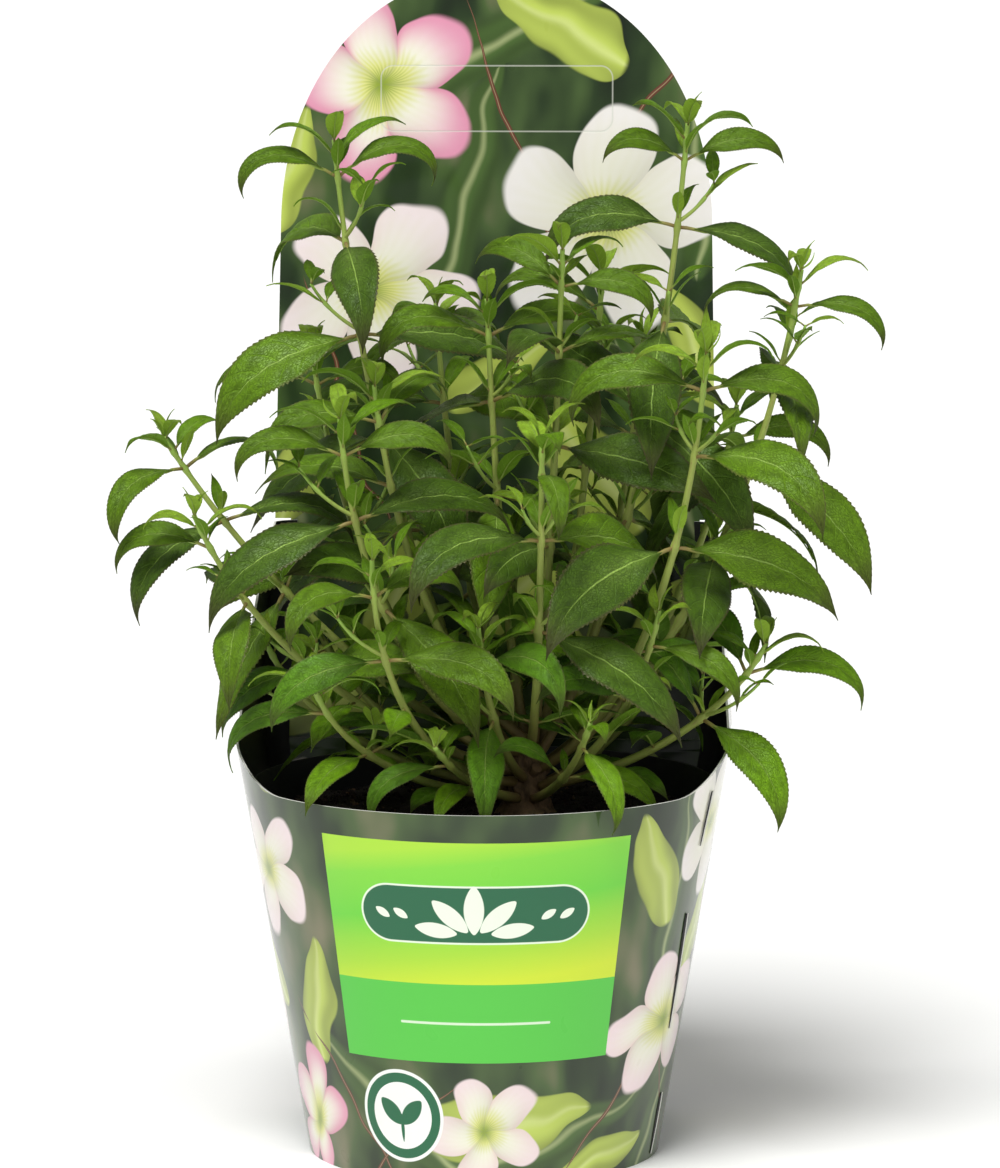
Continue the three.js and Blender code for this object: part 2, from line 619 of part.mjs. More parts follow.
function growLeaves(shoots, paths) {
  const occupied = new Occupied(4);
  paths.forEach((path, index) => {
    for (let s = 0; s < path.length; s += 3) occupied.add(along(path, s).point, index, STEM_SPACING);
  });
  return shoots.map((shoot, index) => {
    const leaves = [];
    for (const site of leafSites(shoot, index, paths[index])) {
      for (const side of [0, 1]) {
        const drawn = drawLeaf(shoot, index, paths[index], site, side);
        for (const [turn, rise, size] of TRIALS) {
          const leaf = { ...drawn,
            turn: drawn.turn + radians(turn), rise: drawn.rise + radians(rise),
            length: drawn.length * size, width: drawn.width * size };
          const samples = leafSamples(leaf);
          if (samples.some((p) => hitsPot(p) || occupied.touches(p, index))) continue;
          samples.forEach((p) => occupied.add(p, -1, LEAF_SPACING));
          leaves.push(leaf);
          break;
        }
      }
    }
    return leaves;
  });
}

const paths = SHOOTS.map(makeStemPath);
const foliage = growLeaves(SHOOTS, paths);

SHOOTS.forEach((shoot, index) => {
  const path = paths[index];
  const fork = shoot.limb ? shoot.bare * path.length : -3;
  if (shoot.limb) {
    const limb = toSolid(makeStem(path, -3, fork, 6, 16)).subtract(socket);
    addMesh(`limb_${shoot.name}`, toGeometry(limb), 'stem');
  }
  let mass = toSolid(makeStem(path, fork + (shoot.limb ? GAP : 0), path.length, 5, 20));
  for (const leaf of foliage[index]) mass = mass.add(toSolid(makeLeaf(leaf)));
  // Taking the outer body alone fills any pocket closed in between the stem and its leaves' roots.
  mass = mass.decompose().reduce((outer, body) => (body.volume() > outer.volume() ? body : outer));
  addMesh(`foliage_${shoot.name}`, toGeometry(shoot.limb ? mass : mass.subtract(socket)), 'leaves');
});

export default group;
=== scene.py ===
import math
from dataclasses import dataclass, replace
from functools import lru_cache

import bmesh
import bpy
import numpy as np
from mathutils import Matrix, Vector


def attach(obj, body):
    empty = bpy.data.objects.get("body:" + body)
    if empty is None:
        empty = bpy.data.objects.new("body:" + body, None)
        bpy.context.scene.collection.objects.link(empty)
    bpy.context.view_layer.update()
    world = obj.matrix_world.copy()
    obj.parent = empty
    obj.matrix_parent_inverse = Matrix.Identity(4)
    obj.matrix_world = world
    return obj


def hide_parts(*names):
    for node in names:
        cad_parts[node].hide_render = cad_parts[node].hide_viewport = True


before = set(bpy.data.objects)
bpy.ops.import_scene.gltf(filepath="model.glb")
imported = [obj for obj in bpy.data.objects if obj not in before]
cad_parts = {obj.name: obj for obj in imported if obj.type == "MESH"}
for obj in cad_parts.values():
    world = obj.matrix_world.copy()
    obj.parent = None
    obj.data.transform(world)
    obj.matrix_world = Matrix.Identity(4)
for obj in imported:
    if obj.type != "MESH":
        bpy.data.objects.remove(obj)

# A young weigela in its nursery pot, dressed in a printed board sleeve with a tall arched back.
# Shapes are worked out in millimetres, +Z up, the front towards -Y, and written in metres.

bl_info = {
    "name": "Potted weigela",
    "version": (1, 0, 0),
    "blender": (4, 5, 0),
    "location": "3D View > Sidebar > Weigela",
    "description": "Makes a young weigela in a pot with a printed board sleeve",
    "category": "Add Mesh",
}

MM = 0.001
BODY = "root"

# ---- Settings ----------------------------------------------------------------------------------


def paint(red, green, blue):
    """A linear colour from screen values between 0 and 255."""
    return tuple(
        c / 3294.6 if c <= 10 else ((c / 255 + 0.055) / 1.055) ** 2.4 for c in (red, green, blue)
    )


def length_of(name, description, millimetres):
    return bpy.props.FloatProperty(
        name=name, description=description, default=millimetres * MM, min=0.0,
        precision=4, unit="LENGTH", subtype="DISTANCE",
    )


def number_of(name, description, default, subtype="NONE"):
    return bpy.props.FloatProperty(
        name=name, description=description, default=default, min=0.0, subtype=subtype,
    )


def colour_of(name, description, red, green, blue):
    return bpy.props.FloatVectorProperty(
        name=name, description=description, default=paint(red, green, blue),
        size=3, min=0.0, max=1.0, subtype="COLOR",
    )


class PotSettings(bpy.types.PropertyGroup):
    """Sizes and colours of the pot and what fills it."""

    height: length_of("Height", "Height of the pot", 148)
    base_radius: length_of("Base radius", "Outside radius at the foot", 66)
    rim_radius: length_of("Rim radius", "Outside radius of the rim band", 93.4)
    rim_depth: length_of("Rim depth", "Depth of the rim band", 14)
    wall: length_of("Wall", "Thickness of the moulded wall", 1.5)
    mix_top: length_of("Mix height", "Height of the growing mix", 136)
    plastic: colour_of("Plastic", "Colour of the moulded pot", 22, 23, 25)
    peat: colour_of("Peat", "Colour of damp peat", 38, 28, 22)
    fibre: colour_of("Fibre", "Colour of the paler fibres and bark chips", 104, 80, 56)
    crumb_density: number_of("Crumbs", "Crumbs on each square metre of mix", 62000)


class SleeveSettings(bpy.types.PropertyGroup):
    """Board and print of the sleeve and its back card."""

    board: length_of("Board", "Thickness of the board", 0.9)
    edge: colour_of("Cut edge", "Colour of the board where it is cut", 226, 226, 218)
    inside: colour_of("Inside", "Colour of the sleeve's inner face", 24, 24, 23)
    label_light: colour_of("Label top", "Colour at the top of the label", 108, 208, 56)
    label_glow: colour_of("Label glow", "Brightest colour in the label", 206, 226, 44)
    label_deep: colour_of("Label foot", "Colour of the label's lower field", 84, 196, 66)
    sticker: colour_of("Sticker", "Colour of the round sticker", 20, 98, 62)


class PlantSettings(bpy.types.PropertyGroup):
    """Sizes and colours of stems and leaves."""

    blade_thickness: length_of("Blade", "Thickness of a leaf blade beside its midrib", 0.34)
    stalk_radius: length_of("Leaf stalk", "Radius of a large leaf's stalk", 0.85)
    bark: colour_of("Bark", "Colour of the woody crown", 112, 90, 62)
    old_stem: colour_of("Stem foot", "Colour of a stem where it leaves the crown", 116, 100, 54)
    stem: colour_of("Stem", "Colour of a stem along its middle", 146, 162, 72)
    new_stem: colour_of("Stem tip", "Colour of the newest growth", 146, 186, 74)
    deep: colour_of("Deep leaves", "Oldest leaves in the light", 66, 94, 20)
    middle: colour_of("Middle leaves", "Full leaves of middle age", 90, 124, 17)
    bright: colour_of("Bright leaves", "Leaves in the shelter of the crown", 106, 149, 18)
    cool: colour_of("Cool leaves", "Sheltered leaves of a duller green", 86, 130, 24)
    young: colour_of("Young leaves", "Leaves at the growing tips", 150, 188, 50)
    # Near the midribs this colour also paints a glow of light through the blades.
    rib: colour_of("Midribs", "Colour of the midribs and of the blades near them", 162, 196, 92)
    bronze: colour_of("Bronze", "Tint of the teeth and drawn-out tips", 86, 62, 52)


class StageSettings(bpy.types.PropertyGroup):
    """Floor, light and camera."""

    floor: colour_of("Floor", "Colour of the floor", 244, 244, 242)
    sky: number_of("Sky", "Strength of the light from all sides", 0.27)
    key: number_of("Key", "Strength of the main lamp", 3.3)
    fill: number_of("Fill", "Strength of the second lamp", 0.55)
    camera_distance: length_of("Camera distance", "From the pot's middle, along the floor", 2200)
    camera_height: length_of("Camera height", "Above the floor", 508)
    lens: number_of("Lens", "Focal length on a 36 mm frame", 172.3, subtype="DISTANCE_CAMERA")


# ---- Meshes ------------------------------------------------------------------------------------


def finish(piece, slot, *nodes):
    """Puts a finished piece in the frame: its body and the nodes it stands for. The slot, its finish, is
    not used.
    """
    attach(piece, BODY)
    if nodes:
        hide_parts(*nodes)
    return piece


def new_object(name, mesh):
    piece = bpy.data.objects.new(name, mesh)
    bpy.context.scene.collection.objects.link(piece)
    return piece


def build_mesh(name, points, faces, materials=(), slots=None, maps=None, smooth=True):
    """A mesh from points in millimetres, with a material slot per face and maps per face corner."""
    mesh = bpy.data.meshes.new(name)
    places = (np.asarray(points, float) * MM).tolist()
    mesh.from_pydata(places, [], [list(map(int, face)) for face in faces])
    for material in materials:
        mesh.materials.append(material)
    if slots is not None:
        mesh.polygons.foreach_set("material_index", np.asarray(slots, np.int32))
    for label, spots in (maps or {}).items():
        layer = mesh.uv_layers.new(name=label)
        layer.data.foreach_set("uv", np.asarray(spots, np.float32).ravel())
    mesh.polygons.foreach_set("use_smooth", np.full(len(mesh.polygons), smooth))
    mesh.update()
    return mesh


def stacked(parts):
    """The points and faces of several parts as one list of each."""
    points, faces, start = [], [], 0
    for cloud, polygons in parts:
        points.append(cloud)
        faces += [[i + start for i in polygon] for polygon in polygons]
        start += len(cloud)
    return np.vstack(points), faces


def baked(piece):
    """The piece's mesh with its modifiers applied."""
    view = bpy.context.evaluated_depsgraph_get()
    return bpy.data.meshes.new_from_object(piece.evaluated_get(view), depsgraph=view)


def point_faces_out(mesh):
    """Turns all faces of one closed mesh so that it encloses a positive volume."""
    editor = bmesh.new()
    editor.from_mesh(mesh)
    if editor.calc_volume(signed=True) < 0:
        bmesh.ops.reverse_faces(editor, faces=editor.faces)
    editor.to_mesh(mesh)
    editor.free()


def sharpen(mesh, degrees=38):
    """Smooth shading stops at the edges whose faces meet at more than the angle."""
    mesh.set_sharp_from_angle(angle=math.radians(degrees))


def lathe(profile, segments, offset=None):
    """Points and faces of a profile of (radius, height) turned about Z. Ends on the axis close to
    poles."""
    angles = np.arange(segments) * 2 * math.pi / segments
    points, rings = [], []
    for radius, height in profile:
        start = len(points)
        if radius == 0:
            points.append((0.0, 0.0, height))
            rings.append([start] * segments)
        else:
            points += [(radius * math.cos(a), radius * math.sin(a), height) for a in angles]
            rings.append(list(range(start, start + segments)))
    faces = []
    for low, high in zip(rings, rings[1:]):
        for k in range(segments):
            n = (k + 1) % segments
            corners = dict.fromkeys((low[k], low[n], high[n], high[k]))
            if len(corners) > 2:
                faces.append(list(corners))
    points = np.array(points)
    return (points if offset is None else offset(points)), faces


def run_nodes(name, source, tree, inputs):
    """The plain mesh that a geometry tree makes of a source mesh."""
    carrier = bpy.data.objects.new(name, source)
    modifier = carrier.modifiers.new(name, "NODES")
    modifier.node_group = tree
    for item in tree.interface.items_tree:
        if item.in_out == "INPUT" and item.name in inputs:
            modifier[item.identifier] = inputs[item.name]
    bpy.context.scene.collection.objects.link(carrier)
    mesh = baked(carrier)
    mesh.name = name
    carrier.modifiers.remove(modifier)
    carrier.data = mesh
    bpy.data.meshes.remove(source)
    return carrier


# ---- Node trees --------------------------------------------------------------------------------


class Flow:
    """A value on its way through a node tree, written with ordinary arithmetic."""

    def __init__(self, tree, socket):
        self.tree, self.socket = tree, socket

    def math(self, operation, *others):
        node = self.tree.nodes.new("ShaderNodeMath")
        node.operation = operation
        for socket, value in zip(node.inputs, (self, *others)):
            feed(self.tree, socket, value)
        return Flow(self.tree, node.outputs[0])

    def __add__(self, other):
        return self.math("ADD", other)

    def __sub__(self, other):
        return self.math("SUBTRACT", other)

    def __mul__(self, other):
        return self.math("MULTIPLY", other)

    def __truediv__(self, other):
        return self.math("DIVIDE", other)

    def __pow__(self, other):
        return self.math("POWER", other)

    def __abs__(self):
        return self.math("ABSOLUTE")

    def fraction(self):
        return self.math("FRACT")

    def fade(self, start, end):
        """Goes smoothly from 0 at start to 1 at end."""
        return flow(self.tree, "ShaderNodeMapRange", {
            "Value": self, "From Min": start, "From Max": end}, interpolation_type="SMOOTHSTEP")


def feed(tree, socket, value):
    """Links a flow to a socket, or sets the socket to a plain value."""
    if isinstance(value, Flow):
        tree.links.new(value.socket, socket)
    elif socket.type == "RGBA" and len(value) == 3:
        socket.default_value = (*value, 1.0)
    else:
        socket.default_value = value


def add(tree, kind, inputs=None, **settings):
    node = tree.nodes.new(kind)
    for name, value in settings.items():
        setattr(node, name, value)
    for key, value in (inputs or {}).items():
        feed(tree, node.inputs[key], value)
    return node


def flow(tree, kind, inputs=None, output=0, **settings):
    return Flow(tree, add(tree, kind, inputs, **settings).outputs[output])


def vector_math(tree, operation, first, second, output=0):
    node = tree.nodes.new("ShaderNodeVectorMath")
    node.operation = operation
    feed(tree, node.inputs[0], first)
    scalar = operation == "SCALE"
    feed(tree, node.inputs["Scale" if scalar else 1], second)
    return Flow(tree, node.outputs[output])


def parts_of(vector):
    node = add(vector.tree, "ShaderNodeSeparateXYZ", {0: vector})
    return [Flow(vector.tree, s) for s in node.outputs]


def joined(tree, x, y, z=0.0):
    return flow(tree, "ShaderNodeCombineXYZ", {0: x, 1: y, 2: z})


def mix(tree, share, first, second):
    """The first colour turning into the second as the share goes from 0 to 1."""
    return flow(tree, "ShaderNodeMix", {0: share, 6: first, 7: second}, 2, data_type="RGBA")


def ramp(tree, value, *stops):
    node = add(tree, "ShaderNodeValToRGB", {0: value})
    band = node.color_ramp
    while len(band.elements) < len(stops):
        band.elements.new(1.0)
    for element, (place, colour) in zip(band.elements, stops):
        element.position, element.color = place, (*colour, 1.0)
    return Flow(tree, node.outputs[0])


def scaled(colour, factor, lift=0.0):
    return tuple(channel * factor + lift for channel in colour)


def noise(tree, place, scale, detail=3.0, rough=0.5, output=0):
    return flow(tree, "ShaderNodeTexNoise", {
        "Vector": place, "Scale": scale, "Detail": detail, "Roughness": rough}, output)


def object_place(tree):
    return flow(tree, "ShaderNodeTexCoord", output=3)


def map_place(tree, label):
    return flow(tree, "ShaderNodeUVMap", uv_map=label)


def look(name, colour, roughness=0.5, height=None, depth=0.2, **constants):
    """A material: colour, roughness and height are plain, or functions of the tree that return
    flows. The bump's depth is in millimetres."""
    material = bpy.data.materials.new(name)
    material.use_nodes = True
    tree = material.node_tree
    shader = tree.nodes["Principled BSDF"]
    feed(tree, shader.inputs["Base Color"], colour(tree) if callable(colour) else colour)
    feed(tree, shader.inputs["Roughness"], roughness(tree) if callable(roughness) else roughness)
    if height:
        bump = add(tree, "ShaderNodeBump", {
            "Strength": 1.0, "Distance": depth * MM, "Height": height(tree)})
        tree.links.new(bump.outputs[0], shader.inputs["Normal"])
    for socket, value in constants.items():
        shader.inputs[socket.replace("_", " ")].default_value = value
    return material


def geometry_tree(name, inputs):
    """A geometry tree with named inputs, and the flows that they give."""
    tree = bpy.data.node_groups.new(name, "GeometryNodeTree")
    for label, kind in inputs.items():
        tree.interface.new_socket(name=label, in_out="INPUT", socket_type=f"NodeSocket{kind}")
    tree.interface.new_socket(name="Geometry", in_out="OUTPUT", socket_type="NodeSocketGeometry")
    return tree, {s.name: Flow(tree, s) for s in add(tree, "NodeGroupInput").outputs if s.name}


def chance_flow(tree, low, high, seed):
    return flow(tree, "FunctionNodeRandomValue", {
        2: low, 3: high, "Seed": seed}, 1, data_type="FLOAT")


def stored(tree, geometry, name, value, kind="FLOAT", domain="POINT"):
    return flow(tree, "GeometryNodeStoreNamedAttribute", {
        "Geometry": geometry, "Name": name, "Value": value}, data_type=kind, domain=domain)


def recalled(tree, name):
    return flow(tree, "GeometryNodeInputNamedAttribute", {"Name": name}, data_type="FLOAT")


def close_tree(tree, geometry, label, place, material):
    """Stores the map under its own name and under OFBake, and ends in faces with a material."""
    for name in (label, "OFBake"):
        geometry = stored(tree, geometry, name, place, "FLOAT2", "CORNER")
    real = flow(tree, "GeometryNodeRealizeInstances", {"Geometry": geometry})
    clad = flow(tree, "GeometryNodeSetMaterial", {"Geometry": real, "Material": material})
    feed(tree, add(tree, "NodeGroupOutput").inputs[0], clad)
    return tree


# ---- Pot and growing mix -----------------------------------------------------------------------

DRAIN_COUNT = 6
DRAIN_RADIUS = 5
DRAIN_RING = 46
RIM_STEP = 4            # how far the wall stands inside the rim band where they meet
MIX_SHOULDER = 120      # the top of the mix, which is uneven, lies above this height


def pot_inside(pot, height):
    """Inside radius of the pot's wall at a height."""
    slope = (pot.rim_radius - RIM_STEP * MM - pot.base_radius) / (pot.height - pot.rim_depth)
    return (pot.base_radius - pot.wall) / MM + slope * height


def make_pot(pot):
    top, depth, wall = pot.height / MM, pot.rim_depth / MM, pot.wall / MM
    base, rim = pot.base_radius / MM, pot.rim_radius / MM
    shoulder = top - depth
    profile = [
        (0, 0.9), (24, 0.9), (25.5, 0), (base - 2, 0), (base - 0.6, 0.6), (base, 2),
        (pot_inside(pot, shoulder) + wall, shoulder - 0.6), (rim - 2.6, shoulder),
        (rim - 1.9, shoulder + 0.7), (rim - 0.1, top - 1.2), (rim - 0.5, top - 0.3), (rim - 1, top),
        (rim - wall - 0.2, top), (rim - wall - 0.6, top - 0.5), (rim - wall - 2.4, shoulder + 2),
        (pot_inside(pot, shoulder), shoulder - 1), (pot_inside(pot, wall) + 0.1, wall + 3),
        (pot_inside(pot, wall) - 2, wall + 1), (0, wall + 1),
    ]
    mesh = build_mesh("pot", *lathe(profile, 128), [moulded_plastic(pot)])
    point_faces_out(mesh)
    carrier = new_object("pot_shell", mesh)
    points, faces = lathe([(0, -4), (DRAIN_RADIUS, -4), (DRAIN_RADIUS, 4), (0, 4)], 28)
    drains = []
    for k in range(DRAIN_COUNT):
        turn = 2 * math.pi * (k + 0.5) / DRAIN_COUNT
        drains.append((points + (DRAIN_RING * math.cos(turn), DRAIN_RING * math.sin(turn), 0), faces))
    cutter_mesh = build_mesh("drains", *stacked(drains))
    point_faces_out(cutter_mesh)
    cutter = new_object("drains", cutter_mesh)
    cut = carrier.modifiers.new("drains", "BOOLEAN")
    cut.operation, cut.object, cut.solver = "DIFFERENCE", cutter, "EXACT"
    finished = baked(carrier)
    bpy.data.objects.remove(carrier)
    bpy.data.objects.remove(cutter)
    sharpen(finished, 32)
    return finish(new_object("nursery_pot", finished), "pot", "pot")


def moulded_plastic(pot):
    def grain(tree):
        return noise(tree, object_place(tree), 900, 4)

    def colour(tree):
        worn = noise(tree, object_place(tree), 38, 5)
        return ramp(tree, worn, (0.3, pot.plastic), (0.75, scaled(pot.plastic, 1.9, 0.004)))

    return look("moulded_plastic", colour, lambda tree: grain(tree) * 0.25 + 0.38, grain, 0.05)


def mix_surface(points):
    """Lifts and dents the top of the mix without leaving its place."""
    x, y = points[:, 0], points[:, 1]
    top = points[:, 2] > MIX_SHOULDER
    lumps = (np.sin(x * 0.21 + 1.3 * np.sin(y * 0.13)) * np.sin(y * 0.19 + 0.9 * np.sin(x * 0.16))
             + 0.5 * np.sin(x * 0.57 + y * 0.31) * np.sin(y * 0.63 - x * 0.22))
    points[:, 2] += np.where(top, 0.9 * lumps - 0.6 - 1.4 * (np.hypot(x, y) / 88) ** 6, 0)
    return points


def make_mix(pot):
    bottom = pot.wall / MM + 1.3
    shoulder = (pot.height - pot.rim_depth) / MM - 1
    top, reach = pot.mix_top / MM, pot_inside(pot, shoulder) - 0.3
    rings = [(r, top) for r in np.linspace(0, reach - 1.5, 34)]
    side = [(reach, top - 1.5), (reach, shoulder),
            (pot_inside(pot, bottom) - 0.3, bottom), (0, bottom)]
    mesh = build_mesh("mix", *lathe([*rings, *side], 120, mix_surface), [damp_peat(pot)])
    point_faces_out(mesh)
    finish(new_object("growing_mix", mesh), "soil", "soil")
    points, faces = lathe(rings, 120, mix_surface)
    source = build_mesh("mix_top", points, faces)
    crumbs = run_nodes("mix_crumbs", source, crumb_tree(), {
        "Density": pot.crumb_density, "Smallest": 0.7 * MM, "Largest": 2.3 * MM, "Seed": 7,
        "Material": crumb_look(pot)})
    finish(crumbs, "soil")


def crumb_tree():
    """Scatters low lumps of chance size, turn and tone over a surface."""
    tree, given = geometry_tree("Crumbs", {
        "Geometry": "Geometry", "Density": "Float", "Smallest": "Float", "Largest": "Float",
        "Seed": "Int", "Material": "Material"})
    seed = given["Seed"]
    spots = flow(tree, "GeometryNodeDistributePointsOnFaces", {
        "Mesh": given["Geometry"], "Density": given["Density"], "Seed": seed})
    lump = flow(tree, "GeometryNodeMeshIcoSphere", {"Radius": 1.0, "Subdivisions": 1})
    turn = flow(tree, "FunctionNodeRandomValue", {
        "Min": (0.0, 0.0, 0.0), "Max": (6.28, 6.28, 6.28), "Seed": seed}, 0, data_type="FLOAT_VECTOR")
    size = chance_flow(tree, 0.0, 1.0, seed + 1)
    size = given["Smallest"] + (given["Largest"] - given["Smallest"]) * (size ** 2.2)
    lean = chance_flow(tree, 0.35, 0.9, seed + 2)
    instances = flow(tree, "GeometryNodeInstanceOnPoints", {
        "Points": spots, "Instance": lump, "Rotation": turn,
        "Scale": joined(tree, size, size * lean, size * 0.55)})
    tone = chance_flow(tree, 0.0, 1.0, seed + 3)
    toned = stored(tree, instances, "tone", tone, domain="INSTANCE")
    real = flow(tree, "GeometryNodeRealizeInstances", {"Geometry": toned})
    place = flow(tree, "GeometryNodeInputPosition")
    ragged = vector_math(tree, "SUBTRACT", noise(tree, place, 420, 2, output=1), (0.5, 0.5, 0.5))
    real = flow(tree, "GeometryNodeSetPosition", {
        "Geometry": real, "Offset": vector_math(tree, "SCALE", ragged, given["Largest"] * 0.7)})
    x, y, z = parts_of(flow(tree, "GeometryNodeInputNormal"))
    spread = joined(tree, recalled(tree, "tone") * 0.9 + 0.05 + x * 0.02, y * 0.3 + 0.5 + z * 0.1)
    return close_tree(tree, real, "Tone", spread, given["Material"])


def crumb_look(pot):
    def colour(tree):
        tone = parts_of(map_place(tree, "Tone"))[0]
        return ramp(tree, tone, (0.0, scaled(pot.peat, 0.45)), (0.45, pot.peat),
                    (0.86, scaled(pot.peat, 1.5)), (0.93, pot.fibre))

    return look("peat_crumbs", colour, 0.92)


def damp_peat(pot):
    def lumps(tree):
        place = object_place(tree)
        return noise(tree, place, 260, 6, 0.7) + noise(tree, place, 60, 2) * 0.5

    def colour(tree):
        fibre = noise(tree, object_place(tree), 420, 3, 0.6).fade(0.62, 0.72)
        base = ramp(tree, noise(tree, object_place(tree), 120, 5, 0.65),
                    (0.3, scaled(pot.peat, 0.4)), (0.7, pot.peat))
        return mix(tree, fibre * 0.5, base, pot.fibre)

    return look("damp_peat", colour, 0.95, lumps, 1.2)


# ---- Sleeve and back card ----------------------------------------------------------------------

SLEEVE_BASE_RADIUS = 70
SLEEVE_RIM_RADIUS = 96
SLEEVE_RIM_HEIGHT = 150
SLEEVE_CORNER = 10
WING_SIDE_HEIGHT = 164
WING_TOP_HEIGHT = 240
CARD_TOP = 466
CARD_LEAN = 0.10
CARD_HALF_WIDTH = 91.5
CARD_SPRING_HALF_WIDTH = 89.5
CARD_SPRING_HEIGHT = 360
CARD_ARCH_POWER = 2.1
CARD_BOW = 0.6          # how far the card bulges backwards above the sleeve
CARD_TUCK = 7           # how far inside the wings its lower edges stand
WING_GAP = 0.5          # by which the wings' tops are wider than the card
BACK_GAP = 1            # from the cone to the back wall and to the card's front
BOARD_SWAY = 0.35       # how far the sleeve's rim waves in and out
QUARTER = 130           # millimetres of print from one station to the next
FOLD = 16               # and round the back fold
HALF_BACK = 86          # and from there to the middle of the back
PRINT_SCALE = 1000      # millimetres of print across the whole map


def lerp(start, end, share):
    return start + (end - start) * share


def sleeve_half_width(z):
    """Half width of the sleeve: a cone up to the rim; the wings then draw in to the card."""
    cone = lerp(SLEEVE_BASE_RADIUS, SLEEVE_RIM_RADIUS,
                np.minimum(z, WING_SIDE_HEIGHT) / SLEEVE_RIM_HEIGHT)
    share = np.maximum(0, z - WING_SIDE_HEIGHT) / (WING_TOP_HEIGHT - WING_SIDE_HEIGHT)
    return lerp(cone, CARD_HALF_WIDTH + WING_GAP, share)


def sleeve_back(z):
    return np.where(z <= SLEEVE_RIM_HEIGHT,
                    lerp(SLEEVE_BASE_RADIUS, SLEEVE_RIM_RADIUS, z / SLEEVE_RIM_HEIGHT) + BACK_GAP,
                    SLEEVE_RIM_RADIUS + BACK_GAP + CARD_LEAN * (z - SLEEVE_RIM_HEIGHT))


def sleeve_point(station, z, inset):
    """A place on the sleeve's right half, by station: 0 at the middle of the front, 1 at the side,
    2 where the back fold begins, 3 where it ends and 4 at the middle of the back."""
    side, station = math.copysign(1, station), abs(station)
    half, back, corner = sleeve_half_width(z) - inset, sleeve_back(z) - inset, SLEEVE_CORNER - inset
    if station <= 1:
        x, y = half * math.sin(station * math.pi / 2), -half * math.cos(station * math.pi / 2)
    elif station <= 2:
        x, y = half, (back - corner) * (station - 1)
    elif station <= 3:
        angle = (station - 2) * math.pi / 2
        x, y = half - corner + corner * math.cos(angle), back - corner + corner * math.sin(angle)
    else:
        x, y = (half - corner) * (4 - station), float(back)
    return side * x, y, z


def smooth_step(value):
    value = np.clip(value, 0, 1)
    return value * value * (3 - 2 * value)


def sleeve_top(station):
    station = np.abs(station)
    front = lerp(SLEEVE_RIM_HEIGHT, WING_SIDE_HEIGHT, smooth_step((station - 0.6) / 0.4))
    wing = lerp(WING_SIDE_HEIGHT, WING_TOP_HEIGHT - 4,
                np.sin(np.clip(station - 1, 0, 1) * math.pi / 2) ** 0.8)
    top = np.where(station <= 1, front, np.where(station <= 2, wing, WING_TOP_HEIGHT))
    return np.where(station < 3, top, SLEEVE_RIM_HEIGHT)


def print_place(station, z):
    """Where a place on the sleeve falls in the print, in millimetres from its middle."""
    side, station = math.copysign(1, station), abs(station)
    fold = FOLD * min(max(station - 2, 0), 1)
    return side * (QUARTER * min(station, 2) + fold + HALF_BACK * max(station - 3, 0)), z


class Looks(list):
    """The materials of a piece, each with its slot."""

    def slot(self, material):
        if material not in self:
            self.append(material)
        return self.index(material)


def make_sleeve(sleeve):
    wall = sleeve.board / MM
    width, low, high = LABEL
    front = sorted({*np.linspace(0, 1, 37), width / QUARTER})
    stations = [*front, *np.linspace(1, 2, 25)[1:], 2.2, 2.4, 2.6, 2.8, 2.98, 3.001, 3.3, 3.65]
    loop = [4.0, *[-s for s in reversed(stations[1:])], *stations]
    fixed = [*np.arange(0, low, 12.5), *np.linspace(low, high, 8), high + 5]
    rings, places = [], []
    for station in loop:
        top = float(sleeve_top(station))
        heights = [*fixed, *np.linspace(fixed[-1], top, 9)[1:]]
        outside = [sleeve_point(station, z, 0) for z in heights]
        inside = [sleeve_point(station, z, wall) for z in reversed(heights)]
        rings.append(outside + inside)
        if abs(station) > 3:    # the back's inner face carries on the picture of the card
            inside = [(x, z) for x, _, z in inside]
        else:
            inside = [print_place(station, z) for z in reversed(heights)]
        places.append([print_place(station, z) for z in heights] + inside)
    count, size = len(rings), len(rings[0])
    rows = size // 2
    points = gentle_waves(np.array(rings).reshape(-1, 3))
    looks, faces, slots, spots = Looks(), [], [], []
    for r in range(count):
        n = (r + 1) % count
        back = abs(loop[r]) > 3 and abs(loop[n]) > 3
        for k in range(size):
            m = (k + 1) % size
            faces.append((r * size + k, n * size + k, n * size + m, r * size + m))
            corners = [list(places[i][j]) for i, j in ((r, k), (n, k), (n, m), (r, m))]
            if r == 0 and k < rows:
                corners[0][0] = corners[3][0] = -corners[0][0]
            x, z = np.mean(corners, axis=0)
            if k < rows - 1 or back and k < size - 1:
                material = printed_board(sleeve, x, z)
            else:
                material = cut_edge(sleeve) if k in (rows - 1, size - 1) else dark_inside(sleeve)
            slots.append(looks.slot(material))
            spots += corners
    spots = np.array(spots) / PRINT_SCALE + (0.5, 0)
    mesh = build_mesh("sleeve", points, faces, looks, slots, {"Print": spots})
    point_faces_out(mesh)
    sharpen(mesh)
    finish(new_object("sleeve_board", mesh), "sleeve", "sleeve_wrap")


def gentle_waves(points):
    """Board is never quite even: a few tenths of a millimetre in and out towards the rim."""
    turn = np.arctan2(points[:, 0], -points[:, 1])
    share = np.clip(points[:, 2] / SLEEVE_RIM_HEIGHT, 0, 1)
    sway = BOARD_SWAY * np.sin(3 * turn + 0.6) * share ** 2
    points[:, :2] *= (1 + sway / 90)[:, None]
    return points


def card_place(x, z, out):
    """A place on the card: out is measured backwards from its front face."""
    return x, SLEEVE_RIM_RADIUS + BACK_GAP + out + CARD_LEAN * (z - SLEEVE_RIM_HEIGHT), z


